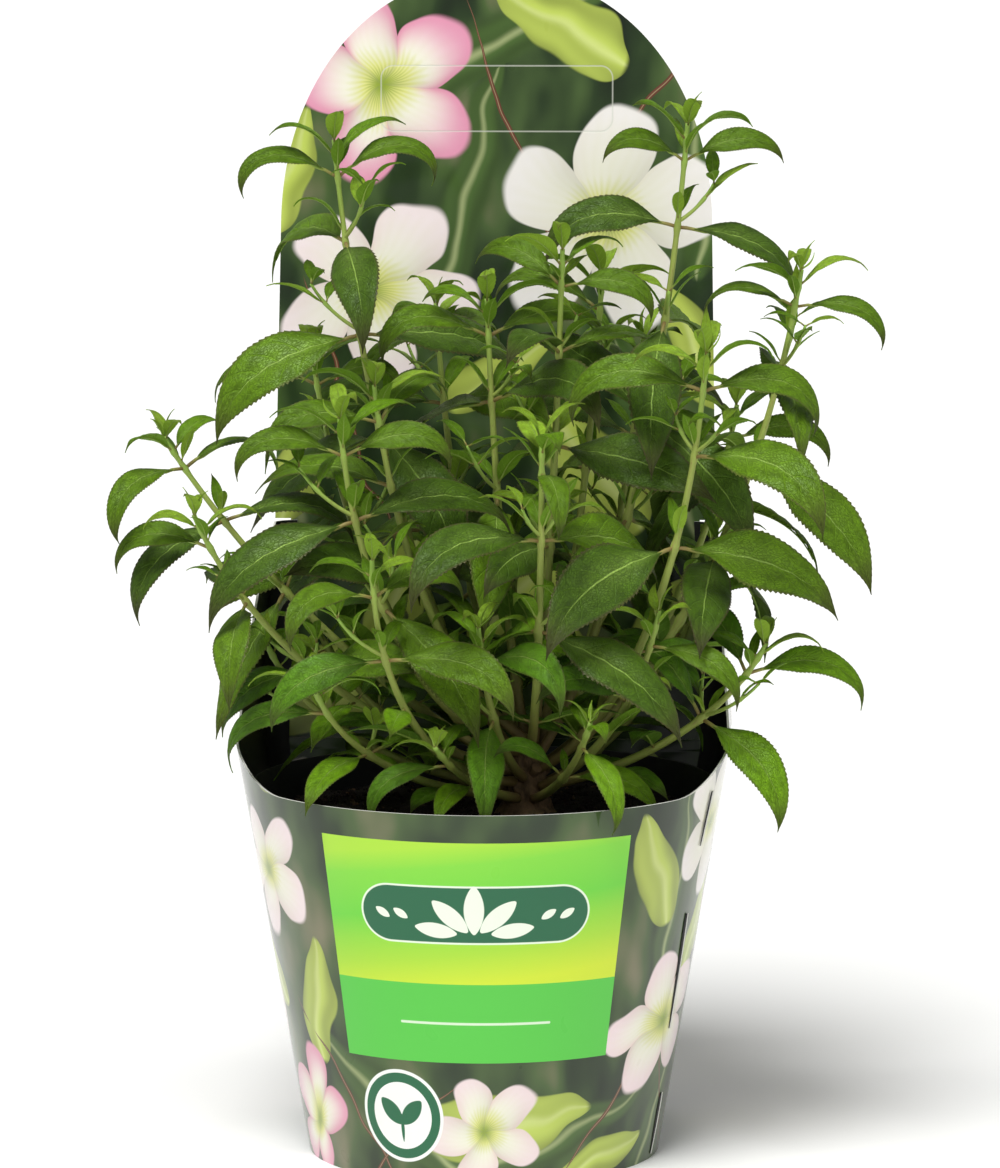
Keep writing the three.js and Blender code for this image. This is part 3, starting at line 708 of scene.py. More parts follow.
def make_card(sleeve):
    step = WING_TOP_HEIGHT + 0.6
    heights = (SLEEVE_RIM_HEIGHT - 2, WING_SIDE_HEIGHT, step)
    right = [(float(sleeve_half_width(z)) - CARD_TUCK, z) for z in heights]
    right.append((CARD_HALF_WIDTH, step))
    for k in range(40):
        angle, power = k / 40 * math.pi / 2, 2 / CARD_ARCH_POWER
        right.append((CARD_SPRING_HALF_WIDTH * math.cos(angle) ** power,
                      lerp(CARD_SPRING_HEIGHT, CARD_TOP, math.sin(angle) ** power)))
    right.append((0.0, CARD_TOP))
    outline = right + [(-x, z) for x, z in reversed(right[:-1])]
    count = len(outline)
    board = sleeve.board / MM
    points = [(x, 0, z) for x, z in outline] + [(x, board, z) for x, z in outline]
    faces = [list(range(count)), list(range(2 * count - 1, count - 1, -1))]
    faces += [(k, k + count, (k + 1) % count + count, (k + 1) % count) for k in range(count)]
    mesh = build_mesh("card", points, faces)
    editor = bmesh.new()
    editor.from_mesh(mesh)
    cuts = [((x * MM, 0, 0), (1, 0, 0)) for x in range(-80, 81, 20)]
    cuts += [((0, 0, z * MM), (0, 0, 1)) for z in range(165, 460, 20)]
    for spot, normal in cuts:
        everything = [*editor.verts, *editor.edges, *editor.faces]
        bmesh.ops.bisect_plane(editor, geom=everything, plane_co=spot, plane_no=normal)
    layer = editor.loops.layers.uv.new("Print")
    looks = Looks()
    for face in editor.faces:
        middle = face.calc_center_median() / MM
        rim, back = abs(face.normal.y) < 0.5, middle.y > board / 2
        side = -1 if back and not rim else 1
        material = cut_edge(sleeve) if rim else printed_board(sleeve, side * middle.x, middle.z)
        face.material_index = looks.slot(material)
        face.smooth = False
        for loop in face.loops:
            x, _, z = (c / MM / PRINT_SCALE for c in loop.vert.co)
            loop[layer].uv = (side * x + 0.5, z)
    free = CARD_TOP - WING_TOP_HEIGHT
    for vert in editor.verts:
        x, out, z = (c / MM for c in vert.co)
        if z > WING_TOP_HEIGHT:
            flat = (x / (CARD_HALF_WIDTH + WING_GAP)) ** 2
            out += CARD_BOW * math.sin((z - WING_TOP_HEIGHT) / free * math.pi) * (1 - flat)
        vert.co = Vector(card_place(x, z, out)) * MM
    editor.to_mesh(mesh)
    editor.free()
    for material in looks:
        mesh.materials.append(material)
    point_faces_out(mesh)
    finish(new_object("back_board", mesh), "sleeve", "back_card")


# The locking slots of the side seam: station and height of the upper end, then of the lower, and
# the widest gape.
SLITS = [(0.79, 149.6, 0.768, 128, 0.9), (0.752, 101, 0.768, 54, 1.7), (0.80, 27, 0.795, 2, 2.2)]


def make_slits(sleeve):
    """Each slot is a narrow dark mouth with one lip of cut board lifted beside it."""
    points, faces, slots, steps = [], [], [], 14
    for upper, high, lower, low, gape in SLITS:
        start = len(points)
        for k in range(steps + 1):
            share = k / steps
            station, z = lerp(upper, lower, share), lerp(high, low, share)
            half = (gape * (share + 0.02) ** 0.35 * (1 - share) ** 0.8 + 0.05) / QUARTER
            for offset, lift in ((-half, 0.08), (half, 0.3), (half + 0.004, 0.5), (half + 0.005, 0.06)):
                points.append(sleeve_point(station + offset, z, -lift))
        for k in range(steps):
            for m in range(3):
                a = start + 4 * k + m
                faces.append((a, a + 1, a + 5, a + 4))
                slots.append(0 if m == 0 else 1)
    mesh = build_mesh("slits", points, faces, [dark_inside(sleeve), cut_edge(sleeve)], slots)
    solid = new_object("sleeve_slots", mesh)
    shell = solid.modifiers.new("board", "SOLIDIFY")
    shell.thickness, shell.offset = 0.12 * MM, -1
    solid_mesh = baked(solid)
    solid.modifiers.remove(shell)
    solid.data = solid_mesh
    finish(solid, "sleeve")


def cut_edge(sleeve):
    def colour(tree):
        fibres = noise(tree, object_place(tree), 700, 4)
        return ramp(tree, fibres, (0.2, scaled(sleeve.edge, 0.82)), (0.7, sleeve.edge))

    return bpy.data.materials.get("board_edge") or look(
        "board_edge", colour, 0.85, lambda tree: noise(tree, object_place(tree), 1500, 1), 0.05)


def dark_inside(sleeve):
    def colour(tree):
        ink = noise(tree, object_place(tree), 26, 4)
        return ramp(tree, ink, (0.3, scaled(sleeve.inside, 0.8)), (0.8, scaled(sleeve.inside, 1.4)))

    return bpy.data.materials.get("board_inside") or look(
        "board_inside", colour, 0.5, lambda tree: noise(tree, object_place(tree), 800, 1), 0.03)


REGION_WIDTH = 92.5     # millimetres of print that one material covers
REGION_ROWS = (150, 300)
REGION_MARGIN = 12

# Motifs of the print: centre, half length and half width, turn, then a blossom's blush and tone.
BLOSSOMS = [
    (-46, 420, 40, 40, 0.3, (0.85, 1.0, 0)), (45, 364, 50, 46, 1.1, (0.05, 0.86, 0)),
    (-50, 334, 44, 40, 0.8, (0.2, 1.0, 0)), (-98, 118, 31, 27, 0.5, (0.25, 1.0, 0)),
    (-88, 22, 27, 24, 1.0, (0.8, 1.0, 0)), (90, 58, 34, 28, 0.2, (0.3, 1.0, 0)),
    (112, 136, 30, 28, 0.7, (0.1, 0.9, 0)), (-148, 60, 38, 36, 0.9, (0.2, 0.95, 0)),
    (164, 92, 42, 40, 0.1, (0.5, 1.0, 0)), (-210, 124, 44, 42, 0.4, (0.7, 1.0, 0)),
    (230, 52, 42, 40, 0.8, (0.2, 0.9, 0)), (-236, 206, 40, 38, 0.2, (0.1, 1.0, 0)),
    (236, 186, 38, 36, 1.2, (0.6, 0.95, 0)), (-270, 50, 44, 42, 0.6, (0.3, 1.0, 0)),
    (306, 116, 42, 40, 0.3, (0.15, 0.95, 0)), (-338, 112, 42, 38, 1.0, (0.6, 1.0, 0)),
    (346, 40, 34, 30, 0.5, (0.3, 1.0, 0)), (4, 22, 26, 22, 0.4, (0.3, 0.9, 0)),
]
LIME_BUDS = [
    (26, 444, 34, 13, 2.6), (-86, 384, 26, 10, 1.3), (82, 312, 28, 11, 2.0),
    (0, 300, 26, 10, 0.5), (-84, 262, 24, 10, 1.4), (40, 262, 34, 15, 2.2),
    (72, 196, 30, 14, 1.1), (-66, 172, 34, 15, 0.4), (8, 206, 28, 13, 0.7),
    (34, 176, 24, 12, 1.9), (-40, 210, 26, 12, 1.2), (12, 24, 40, 12, 0.12),
    (72, 122, 26, 10, 1.9), (-72, 70, 30, 9, 1.5), (-176, 104, 28, 11, 0.9),
    (198, 132, 28, 11, 2.3), (60, 6, 30, 8, 0.4), (112, 92, 22, 9, 1.2), (-118, 80, 24, 9, 2.4),
]
STALKS = [
    (-60, 34, 46, 0.8, 2.2), (-40, 12, 44, 0.7, 0.7), (66, 34, 46, 0.8, 0.9),
    (108, 20, 40, 0.7, 2.2), (-62, 284, 60, 0.9, 1.9), (70, 424, 50, 0.9, 1.0),
    (6, 400, 60, 0.8, 1.9), (150, 40, 60, 0.8, 1.9), (-136, 16, 60, 0.8, 1.1),
]
DIM_LEAVES = [
    (-14, 372, 64, 10, 1.3), (72, 264, 60, 12, 2.0), (6, 440, 60, 11, 0.5),
    (-84, 250, 54, 11, 1.8), (30, 16, 60, 9, 0.3), (-40, 30, 52, 9, 2.5), (96, 18, 46, 9, 1.1),
    (-128, 96, 60, 10, 1.4), (190, 40, 60, 10, 2.2), (-190, 50, 60, 10, 0.8),
    (0, 218, 50, 10, 2.7), (84, 112, 46, 8, 1.5), (270, 150, 56, 11, 0.7),
    (-300, 160, 56, 11, 2.0), (-60, 456, 40, 9, 0.7), (84, 380, 44, 9, 1.6),
]


def tinted(motifs, colour):
    return [(*motif, colour) for motif in motifs]


BUDS = tinted(LIME_BUDS, paint(196, 214, 96)) + tinted(STALKS, paint(122, 72, 56))
BLURRED_LEAVES = tinted(DIM_LEAVES, paint(76, 104, 48))

LABEL = (57, 50, 139)           # half width, foot and head of the label
LABEL_SPLIT = 82
LABEL_BAND = (0, 110, 42, 11, 11)       # centre, half sizes and corner of the dark band
LABEL_RULE = (0, 66, 30, 0.5, 0.4)      # and of the pale rule below it
INK_EDGE = 0.15                         # half the width over which one ink turns into the next
PRINT_DRIFT = 17.0                      # how far the motifs' outlines wander
SPRIG = [(0, 5, 10, 3.6, 1.571), (-8.6, 2.4, 9, 3.3, 2.36), (8.6, 2.4, 9, 3.3, 0.78),
         (-14, -3.2, 8, 2.9, 2.97), (14, -3.2, 8, 2.9, 0.17)]
STICKER = (-33, 27, 19)         # centre and radius of the round sticker
HANDLE = (0, 414, 48, 13.5, 5)  # centre, half sizes and corner of the punched handle's line


def in_box(x, y, centre_x, centre_y, half_x, half_y, corner):
    """How far a place lies outside a rounded box, in millimetres; negative inside."""
    dx, dy = abs(x - centre_x) - (half_x - corner), abs(y - centre_y) - (half_y - corner)
    wide, high = dx.math("MAXIMUM", 0.0), dy.math("MAXIMUM", 0.0)
    return (wide * wide + high * high) ** 0.5 + dx.math("MAXIMUM", dy).math("MINIMUM", 0.0) - corner


def print_plane(tree):
    """The place in the print, in millimetres from the foot of its middle."""
    place = vector_math(tree, "SUBTRACT", map_place(tree, "Print"), (0.5, 0.0, 0.0))
    return vector_math(tree, "SCALE", place, float(PRINT_SCALE))


def nearest_motif(tree, place, motifs):
    """The place within the nearest of some motifs, 1 at its ends and sides, and its style."""
    best = None
    for x, z, length, width, turn, style in motifs:
        local = flow(tree, "ShaderNodeMapping", {
            "Vector": place, "Location": (x, z, 0), "Rotation": (0, 0, turn),
            "Scale": (length, width, 1)}, vector_type="TEXTURE")
        far = vector_math(tree, "LENGTH", local, (0, 0, 0), 1)
        if best:
            closer = far.math("LESS_THAN", best[0])
            best = [far.math("MINIMUM", best[0])] + [
                flow(tree, "ShaderNodeMix", {0: closer, 4: old, 5: new}, 1, data_type="VECTOR")
                for old, new in zip(best[1:], (local, style))]
        else:
            best = [far, local, style]
    return best[1:]


def oval_mask(tree, place, motifs):
    """1 within any of some plain pointed ovals, which may not overlap."""
    x, y, _ = parts_of(nearest_motif(tree, place, tinted(motifs, (0, 0, 0)))[0])
    half = ((x * x) * -1 + 1).math("MAXIMUM", 0.0) ** 0.8 + 0.01
    return (abs(y) / half).fade(1.05, 0.95) * abs(x).fade(1.0, 0.95)


def draw_ovals(tree, place, motifs, colour, blur):
    """Lays leaves, buds and stalks over a colour: ovals drawn out at one end, with a pale rib."""
    local, tint = nearest_motif(tree, place, motifs)
    x, y, _ = parts_of(local)
    half = ((x * x) * -1 + 1).math("MAXIMUM", 0.0) ** 0.7 * (x * -0.3 + 1)
    reach = abs(y) / (half + 0.01)
    mask = reach.fade(1 + blur, 1 - blur) * abs(x).fade(1.0, 0.9)
    streak = (y * 7 + x).math("SINE") * 0.16 + 0.2
    light = mix(tree, reach.fade(0.3, 0.0) * 0.4, tint, paint(226, 232, 170))
    dark = vector_math(tree, "SCALE", tint, 0.42)
    tone = mix(tree, (reach * 0.6 + streak).math("MINIMUM", 1.0), light, dark)
    return mix(tree, mask, colour, tone)


def draw_blossoms(tree, place, motifs, colour):
    """Lays blossoms over a colour: five round petals, each over the next, about a lime throat."""
    local, style = nearest_motif(tree, place, motifs)
    blush, tone, _ = parts_of(style) if isinstance(style, Flow) else style
    x, y, _ = parts_of(local)
    radius = vector_math(tree, "LENGTH", local, (0, 0, 0), 1)
    turn = (y.math("ARCTAN2", x) * (5 / (2 * math.pi)) + 10.25).fraction()
    off = abs(turn - 0.5)
    reach = radius / ((off ** 2.4) * -2.6 + 1)
    mask = reach.fade(1.03, 0.96)
    cup = (turn * 1.9 + radius * 0.5).math("SINE") * 0.28 + 0.74
    streaks = (turn * 50).math("SINE") * 0.03
    petal = ramp(tree, radius + streaks, (0.05, paint(140, 160, 52)), (0.2, paint(214, 216, 128)),
                 (0.4, paint(236, 234, 214)), (0.9, paint(247, 245, 240)))
    petal = mix(tree, reach.fade(0.35, 1.0) * blush, petal, paint(216, 118, 158))
    petal = mix(tree, (cup * tone).math("MINIMUM", 1.0), paint(120, 126, 108), petal)
    return mix(tree, mask, colour, petal)


def label_colour(tree, sleeve):
    """A lime field with a glow across it, a plain field below, and a sprig on a dark band."""
    place = print_plane(tree)
    x, z, _ = parts_of(place)
    width, _, high = LABEL
    glow = ramp(tree, (z - LABEL_SPLIT) / (high - LABEL_SPLIT) - x / width * 0.12,
                (0.0, sleeve.label_glow), (0.22, paint(168, 216, 50)), (0.55, sleeve.label_light),
                (0.85, paint(130, 214, 58)), (1.0, paint(172, 222, 54)))
    below = z.fade(LABEL_SPLIT + INK_EDGE, LABEL_SPLIT - INK_EDGE)
    colour = mix(tree, below, glow, sleeve.label_deep)
    rim = in_box(x, z, *LABEL_BAND)
    colour = mix(tree, rim.fade(0.9, 0.6), colour, paint(232, 244, 222))
    colour = mix(tree, rim.fade(INK_EDGE, -INK_EDGE), colour, sleeve.sticker)
    pale = paint(236, 244, 226)
    leaves = [(across, up + 107, *rest) for across, up, *rest in SPRIG]
    leaves += [(side * across, 110, 3.2, 1.5, 0.6 * side)
               for side in (-1, 1) for across in (27, 34)]
    colour = mix(tree, oval_mask(tree, place, leaves), colour, pale)
    return mix(tree, in_box(x, z, *LABEL_RULE).fade(INK_EDGE, -INK_EDGE) * 0.8, colour, pale)


def sticker_colour(tree, place, sleeve, colour):
    """A round sticker: a dark ring between pale ones and a two-leaved shoot in the middle."""
    cx, cz, radius = STICKER
    ring = vector_math(tree, "DISTANCE", place, (cx, cz, 0.0), 1)
    band = ramp(tree, ring / radius, (0.0, paint(240, 243, 238)), (0.72, sleeve.sticker),
                (0.925, paint(240, 243, 238)))
    band.socket.node.color_ramp.interpolation = "CONSTANT"
    colour = mix(tree, ring.fade(radius + INK_EDGE, radius - INK_EDGE), colour, band)
    shoot = [(cx + 4.6 * side, cz + 1.5, 7, 3.4, 1.571 - 0.75 * side) for side in (-1, 1)]
    shoot.append((cx, cz - 5, 6, 0.8, 1.571))
    return mix(tree, oval_mask(tree, place, shoot), colour, sleeve.sticker)


def print_look(name, colour, relief=None):
    """Print under a glossy coat, with a relief pressed into the board."""
    def roughness(tree):
        return noise(tree, object_place(tree), 70, 1) * 0.14 + 0.24

    def height(tree):
        grain = noise(tree, object_place(tree), 300, 1)
        return grain * 0.4 - relief(tree) if relief else grain * 0.4

    return look(name, colour, roughness, height, 0.05,
                Specular_IOR_Level=0.15, Coat_Weight=0.8, Coat_Roughness=0.08)


def printed_board(sleeve, x, z):
    """The material of the stretch of print that holds a place."""
    width, low, high = LABEL
    if abs(x) < width and low < z < high:
        return bpy.data.materials.get("printed_label") or print_look(
            "printed_label", lambda tree: label_colour(tree, sleeve))
    column, row = math.floor(x / REGION_WIDTH), sum(z > edge for edge in REGION_ROWS)
    name = f"printed_board_{column + 5}_{row}"
    if name in bpy.data.materials:
        return bpy.data.materials[name]
    edges = (0, *REGION_ROWS, CARD_TOP)
    middle = ((column + 0.5) * REGION_WIDTH, (edges[row] + edges[row + 1]) / 2)
    half = (REGION_WIDTH / 2 + REGION_MARGIN, (edges[row + 1] - edges[row]) / 2 + REGION_MARGIN)

    def near(centre_x, centre_z, reach):
        beside = max(abs(centre_x - middle[0]) - half[0], 0)
        above = max(abs(centre_z - middle[1]) - half[1], 0)
        return math.hypot(beside, above) < reach

    def here(motifs):
        return [motif for motif in motifs if near(*motif[:3])]

    def handle_line(tree):
        across, up, _ = parts_of(print_plane(tree))
        return abs(in_box(across, up, *HANDLE)).fade(0.45, 0.15)

    def colour(tree):
        place = print_plane(tree)
        drift = noise(tree, place, 0.03, 1, output=1)
        drift = vector_math(tree, "SUBTRACT", drift, (0.5, 0.5, 0.5))
        drift = vector_math(tree, "MULTIPLY", drift, (PRINT_DRIFT, PRINT_DRIFT, 0.0))
        warped = vector_math(tree, "ADD", place, drift)
        blur = noise(tree, vector_math(tree, "MULTIPLY", place, (0.034, 0.017, 1.0)), 1.0, 2)
        base = ramp(tree, blur, (0.3, paint(17, 27, 15)), (0.45, paint(38, 56, 28)),
                    (0.58, paint(70, 92, 48)), (0.72, paint(122, 118, 90)))
        base = draw_ovals(tree, warped, here(BLURRED_LEAVES) or BLURRED_LEAVES[:1], base, 0.3)
        base = draw_ovals(tree, warped, here(BUDS) or BUDS[:1], base, 0.06)
        base = draw_blossoms(tree, warped, here(BLOSSOMS) or BLOSSOMS[:1], base)
        if near(*STICKER):
            base = sticker_colour(tree, place, sleeve, base)
        if near(*HANDLE[:3]):
            base = mix(tree, handle_line(tree) * 0.55, base, paint(206, 208, 196))
        return base

    return print_look(name, colour, handle_line if near(*HANDLE[:3]) else None)


# ---- How the plant grows: the source's rule ----------------------------------------------------

SOIL_TOP = 136
STOOL = np.array([17.0, 0.0, 0.0])
STOOL_PROFILE = [(12.5, 0.3), (9.6, 4), (8.4, 10), (7.2, 16), (5.4, 22), (3.4, 26.5), (0, 28.5)]
FIRST_INTERNODE = 15
INTERNODE_GROWTH = 11
LONGEST_INTERNODE = 40
LOW_STEP = 23           # from pair to pair of the small leaves low on a limb
LOWEST_PAIR = 16        # and how near to the foot one may stand
LIGHT_SIDE = (8, 140)   # the place behind the plant that full leaves face away from
SHELTER_TOP = 250       # below this height leaves come into the crown's shelter
SHELTER_DEPTH = 60      # and this far below it they are fully in it
YOUNG_PAIR = 7          # from the tip to the pair of young leaves
LEAF_STEPS = 18
FIRST_SAMPLE = 7        # from the foot of a leaf to the first of its tested places
SAMPLE_STEP = 3.6       # and the widest step from one to the next across the blade
LEAF_SPACING = 3.2      # how near to a leaf's tested places another may not come
STEM_SPACING = 3.9      # and to a stem's
BOARD_SPACING = 5       # and to the sleeve and the card
TWIG_NODE = 0.62        # where a side twig carries its lower leaf pair
AXIL_LIMIT = -0.1       # axils whose chance is above this carry a pair of small leaves
TWIG_LIMIT = -0.2       # and those whose chance is above this a side twig
TWIG_LENGTH, TWIG_LENGTH_CHANCE = 24, 9
TWIG_TURN_CHANCE = 24

# Shoots: name, tip, foot on the stool as turn, ring radius and height, bow, turns of the leaf pairs
# from the tip down, leaf length, share of it in the first pair, bare share of the stem, droop,
# and whether the bare stem is a limb of its own.
SHOOTS = [
    ("tall_right", (80, 10, 409), (350, 6.5, 161), 0.55, (28, 178, 75, -15), 70, 0.52, 0.33, 1.0, True),
    ("right_high", (125, 3, 352), (0, 9, 155), 0.6, (-12, -80, -14, 60), 62, 0.62, 0.46, 1.0, True),
    ("right_mid", (88, -45, 323), (323, 9, 155), 0.75, (-4, -40, 25), 70, 0.8, 0.42, 1.0, True),
    ("front", (25, -62, 292), (280, 6.5, 161), 0.95, (-80, -150, -18, -60), 70, 0.66, 0.2, 1.0, True),
    ("left_low", (-40, -70, 245), (231, 10, 149), 1.0, (17, 176, -63), 54, 0.85, 0.42, 0.9, True),
    ("left_mid", (-54, -45, 297), (218, 6.5, 161), 0.8, (6, -158, -70, 10), 70, 0.66, 0.34, 1.0, True),
    ("top_left", (-60, 15, 402), (165, 6.5, 161), 0.6, (4, -72, 15, -60), 68, 0.66, 0.33, 1.25, True),
    ("left_upper", (-42, -22, 308), (215, 3.5, 167), 0.65, (20, -70, 30, -50), 66, 0.7, 0.34, 1.0, True),
    ("centre_left", (1, 5, 340), (110, 3.5, 168), 0.45, (8, -40, 50, -30), 70, 0.7, 0.26, 1.0, True),
    ("centre", (31, 0, 360), (335, 3.5, 167), 0.4, (-8, 70, -30, 50), 68, 0.6, 0.26, 1.0, True),
    ("centre_right", (46, 32, 348), (48, 6.5, 161), 0.45, (-24, 50, -10, 70), 68, 0.66, 0.26, 1.0, True),
    ("far_left", (-127, 0, 285), (176, 9, 155), 0.3, (34, -150, 60), 60, 0.85, 0.5, 1.2, True),
    ("far_left_low", (-112, -34, 258), (203, 9, 153), 0.55, (-10, -105, -20), 54, 0.8, 0.48, 1.1, True),
    ("right_edge", (100, 40, 295), (34, 9.5, 155), 0.6, (16, -60, 50), 62, 0.7, 0.36, 1.0, True),
    ("back_left", (-72, 52, 316), (140, 9, 155), 0.65, (10, 100, 20), 66, 0.7, 0.36, 1.0, True),
    ("back_mid", (-22, 58, 334), (107, 6.5, 161), 0.6, (50, -30, 40, -40), 66, 0.7, 0.3, 1.0, True),
    ("back_right", (62, 66, 320), (70, 9, 155), 0.6, (-30, 50, -20), 66, 0.7, 0.34, 1.0, True),
    ("low_right", (112, -22, 207), (346, 11, 147), 0.55, (-8, -42, -100), 58, 0.9, 0.4, 0.9, False),
    ("right_back", (90, 62, 238), (38, 11, 147), 0.7, (-20, 50, -30), 58, 0.8, 0.4, 1.0, False),
    ("low_back", (9, 75, 235), (99, 11, 145), 0.8, (12, 78, 6), 58, 0.8, 0.34, 1.0, False),
    ("low_left", (-86, -12, 206), (186, 11, 146), 0.7, (50, -160, 10), 60, 0.9, 0.34, 1.0, False),
    ("left_front", (-64, -58, 196), (214, 11.5, 143), 0.75, (-10, -120), 58, 0.95, 0.44, 0.9, False),
    ("low_left_back", (-80, 48, 232), (152, 11, 147), 0.75, (40, -30, 60), 60, 0.85, 0.4, 1.0, False),
    ("low_centre", (0, -48, 216), (258, 10, 152), 0.6, (-20, -120, 0), 56, 0.9, 0.3, 0.9, False),
    ("low_front", (-16, -68, 172), (246, 12, 143), 0.4, (15, -120), 44, 0.95, 0.34, 1.0, False),
    ("low_front_right", (44, -68, 182), (292, 12, 143), 0.45, (-70, 10), 44, 0.95, 0.34, 1.0, False),
    ("right_low", (70, -40, 222), (318, 11, 148), 0.6, (-20, 60, -30), 56, 0.85, 0.34, 0.9, False),
]

# Leaves by place on the shoot: rise and its chance, droop and its chance, half width as a share of
# the length, petiole. Only the dressed plant has twig, low, sprig and bud leaves.
LEAF_KINDS = {
    "tip": (66, 8, 95, 30, 0.16, 2),
    "young": (46, 9, 92, 22, 0.175, 3),
    "axil": (58, 10, 60, 25, 0.19, 3),
    "full": (-10, 14, 42, 18, 0.18, 6),
    "twig": (44, 14, 62, 26, 0.155, 2.5),
    "low": (16, 22, 44, 20, 0.18, 4),
    "sprig": (62, 12, 42, 20, 0.14, 2.5),
    "bud": (80, 6, 34, 16, 0.12, 0.6),
}

# How much a leaf's own chance moves it, in degrees or as a share.
TURN_CHANCE = 11
SWEEP_CHANCE = 22
ROLL_CHANCE = 24
FULL_ROLL_CHANCE = 14
LENGTH_CHANCE = 0.09
LIGHT_ROLL = -50        # how far full leaves roll to face the light
FRONT_DROP = 18         # how much lower full leaves lie towards the front
LEAN_SHARE = 0.6        # the share of the stem's lean that they take up
NEW_RISE = 20           # how much steeper the newest full leaves stand
NEW_DROOP = 16          # and how much further they bend over

# How the dressed plant's leaves curl at the tip, in degrees, and how much narrower its newest are.
CURL = 6
NEW_CURL = 24
CURL_CHANCE = 10
NEW_NARROWING = 0.13

# Turn, rise and size that a leaf tries in order before it is left out.
TRIALS = [(0, 0, 1), (14, 0, 1), (-14, 0, 1), (28, 0, 1), (-28, 0, 1),
          (0, 14, 1), (0, -14, 1), (20, 14, 0.85), (-20, -14, 0.85),
          (0, 28, 0.95), (40, 0, 0.9), (-40, 0, 0.9), (24, 28, 0.8), (-24, 28, 0.8),
          (0, 46, 0.8), (60, 14, 0.75), (-60, 14, 0.75), (0, 64, 0.7)]


def chance(seed, trait):
    """A fixed chance between -1 and 1 for a leaf's seed and the trait it decides."""
    value = math.sin(seed * 12.9898 + trait * 78.233) * 43758.5453
    return 2 * (value - math.floor(value)) - 1


@dataclass
class Shoot:
    name: str
    tip: tuple
    foot: tuple
    bow: float
    turns: tuple
    leaf: float
    first: float
    bare: float
    weep: float
    limb: bool


@dataclass
class Path:
    points: np.ndarray
    runs: np.ndarray        # distance from the foot at each point

    @property
    def length(self):
        return self.runs[-1]


@dataclass
class Leaf:
    kind: str
    order: int
    seed: int
    base: np.ndarray
    turn: float
    length: float
    sweep: float
    rise: float
    droop: float
    roll: float
    width: float
    petiole: float
    shelter: float = 0.0
    curl: float = 0.0


def path_through(points):
    steps = np.linalg.norm(np.diff(points, axis=0), axis=1)
    return Path(points, np.concatenate([[0], np.cumsum(steps)]))


def bend_through(*points, steps):
    """The Bezier path that these points pull on."""
    t, last = (np.arange(steps + 1) / steps)[:, None], len(points) - 1
    return path_through(sum(
        math.comb(last, k) * (1 - t) ** (last - k) * t ** k * p for k, p in enumerate(points)))


def stem_path(shoot):
    """The stem leaves the stool outwards, then turns up towards its tip."""
    turn, ring, height = shoot.foot
    end = np.array(shoot.tip, float)
    turn = math.radians(turn)
    foot = np.array([STOOL[0] + ring * math.cos(turn), STOOL[1] + ring * math.sin(turn), height])
    rise = end[2] - foot[2]
    outward = lerp(foot, end, 0.62)
    outward[2] = foot[2] + 0.06 * rise
    upward = end - np.array([0, 0, 0.5 * rise])
    near = lerp(lerp(foot, end, 1 / 3), outward, shoot.bow)
    far = lerp(lerp(foot, end, 2 / 3), upward, shoot.bow)
    return bend_through(foot, near, far, end, steps=40)


def along(path, distance):
    """The place and direction at a distance along the stem; below zero it runs on straight."""
    k = min(int(np.searchsorted(path.runs[1:], distance)), len(path.runs) - 2)
    step = path.points[k + 1] - path.points[k]
    length = path.runs[k + 1] - path.runs[k]
    return path.points[k] + step * ((distance - path.runs[k]) / length), step / length


def blade_outline(u):
    """Half width of a blade along its length, 1 at the widest."""
    u = np.clip(u, 0, 1)
    return u * (1 - u) ** 1.4 / 0.1959


def leaf_axes(leaf, share):
    """Directions at a share of the length: along the midrib, across the blade, out of its face."""
    rise = leaf.rise - leaf.droop * share ** 1.8 - leaf.curl * share ** 3
    turn = leaf.turn + leaf.sweep * share
    roll = (leaf.roll * np.minimum(1, share / 0.35))[:, None]
    cr, sr, ct, st = np.cos(rise), np.sin(rise), np.cos(turn), np.sin(turn)
    forward = np.stack([cr * ct, cr * st, sr], 1)
    flat = np.stack([-st, ct, np.zeros_like(st)], 1)
    face = np.stack([-sr * ct, -sr * st, cr], 1)
    cr, sr = np.cos(roll), np.sin(roll)
    return forward, flat * cr + face * sr, face * cr - flat * sr


def leaf_line(leaf, steps):
    """Places along the midrib, petiole included, at equal shares of the length."""
    total = leaf.petiole + leaf.length
    middle = (np.arange(steps) + 0.5) / steps
    strides = leaf_axes(leaf, middle)[0] * (total / steps)
    return leaf.base + np.vstack([np.zeros(3), np.cumsum(strides, axis=0)])


def blade_lift(v):
    """Blades are gently folded up from the midrib."""
    return 0.42 * np.abs(v) - 0.35 * v * v


def leaf_samples(leaf):
    """Places that stand for a leaf when it is tested against its neighbours."""
    share = np.arange(LEAF_STEPS + 1) / LEAF_STEPS
    run = share * (leaf.petiole + leaf.length)
    width = leaf.width * blade_outline((run - leaf.petiole) / leaf.length)
    line = leaf_line(leaf, LEAF_STEPS)
    _, across, normal = leaf_axes(leaf, share)
    samples = []
    for k in range(LEAF_STEPS + 1):
        if run[k] >= FIRST_SAMPLE:
            half = max(1, math.ceil(width[k] / SAMPLE_STEP))
            v = (np.arange(-half, half + 1) / half)[:, None]
            lift = normal[k] * width[k] * blade_lift(v)
            samples.append(line[k] + across[k] * width[k] * v + lift)
    return np.vstack(samples) if samples else line[-1:]


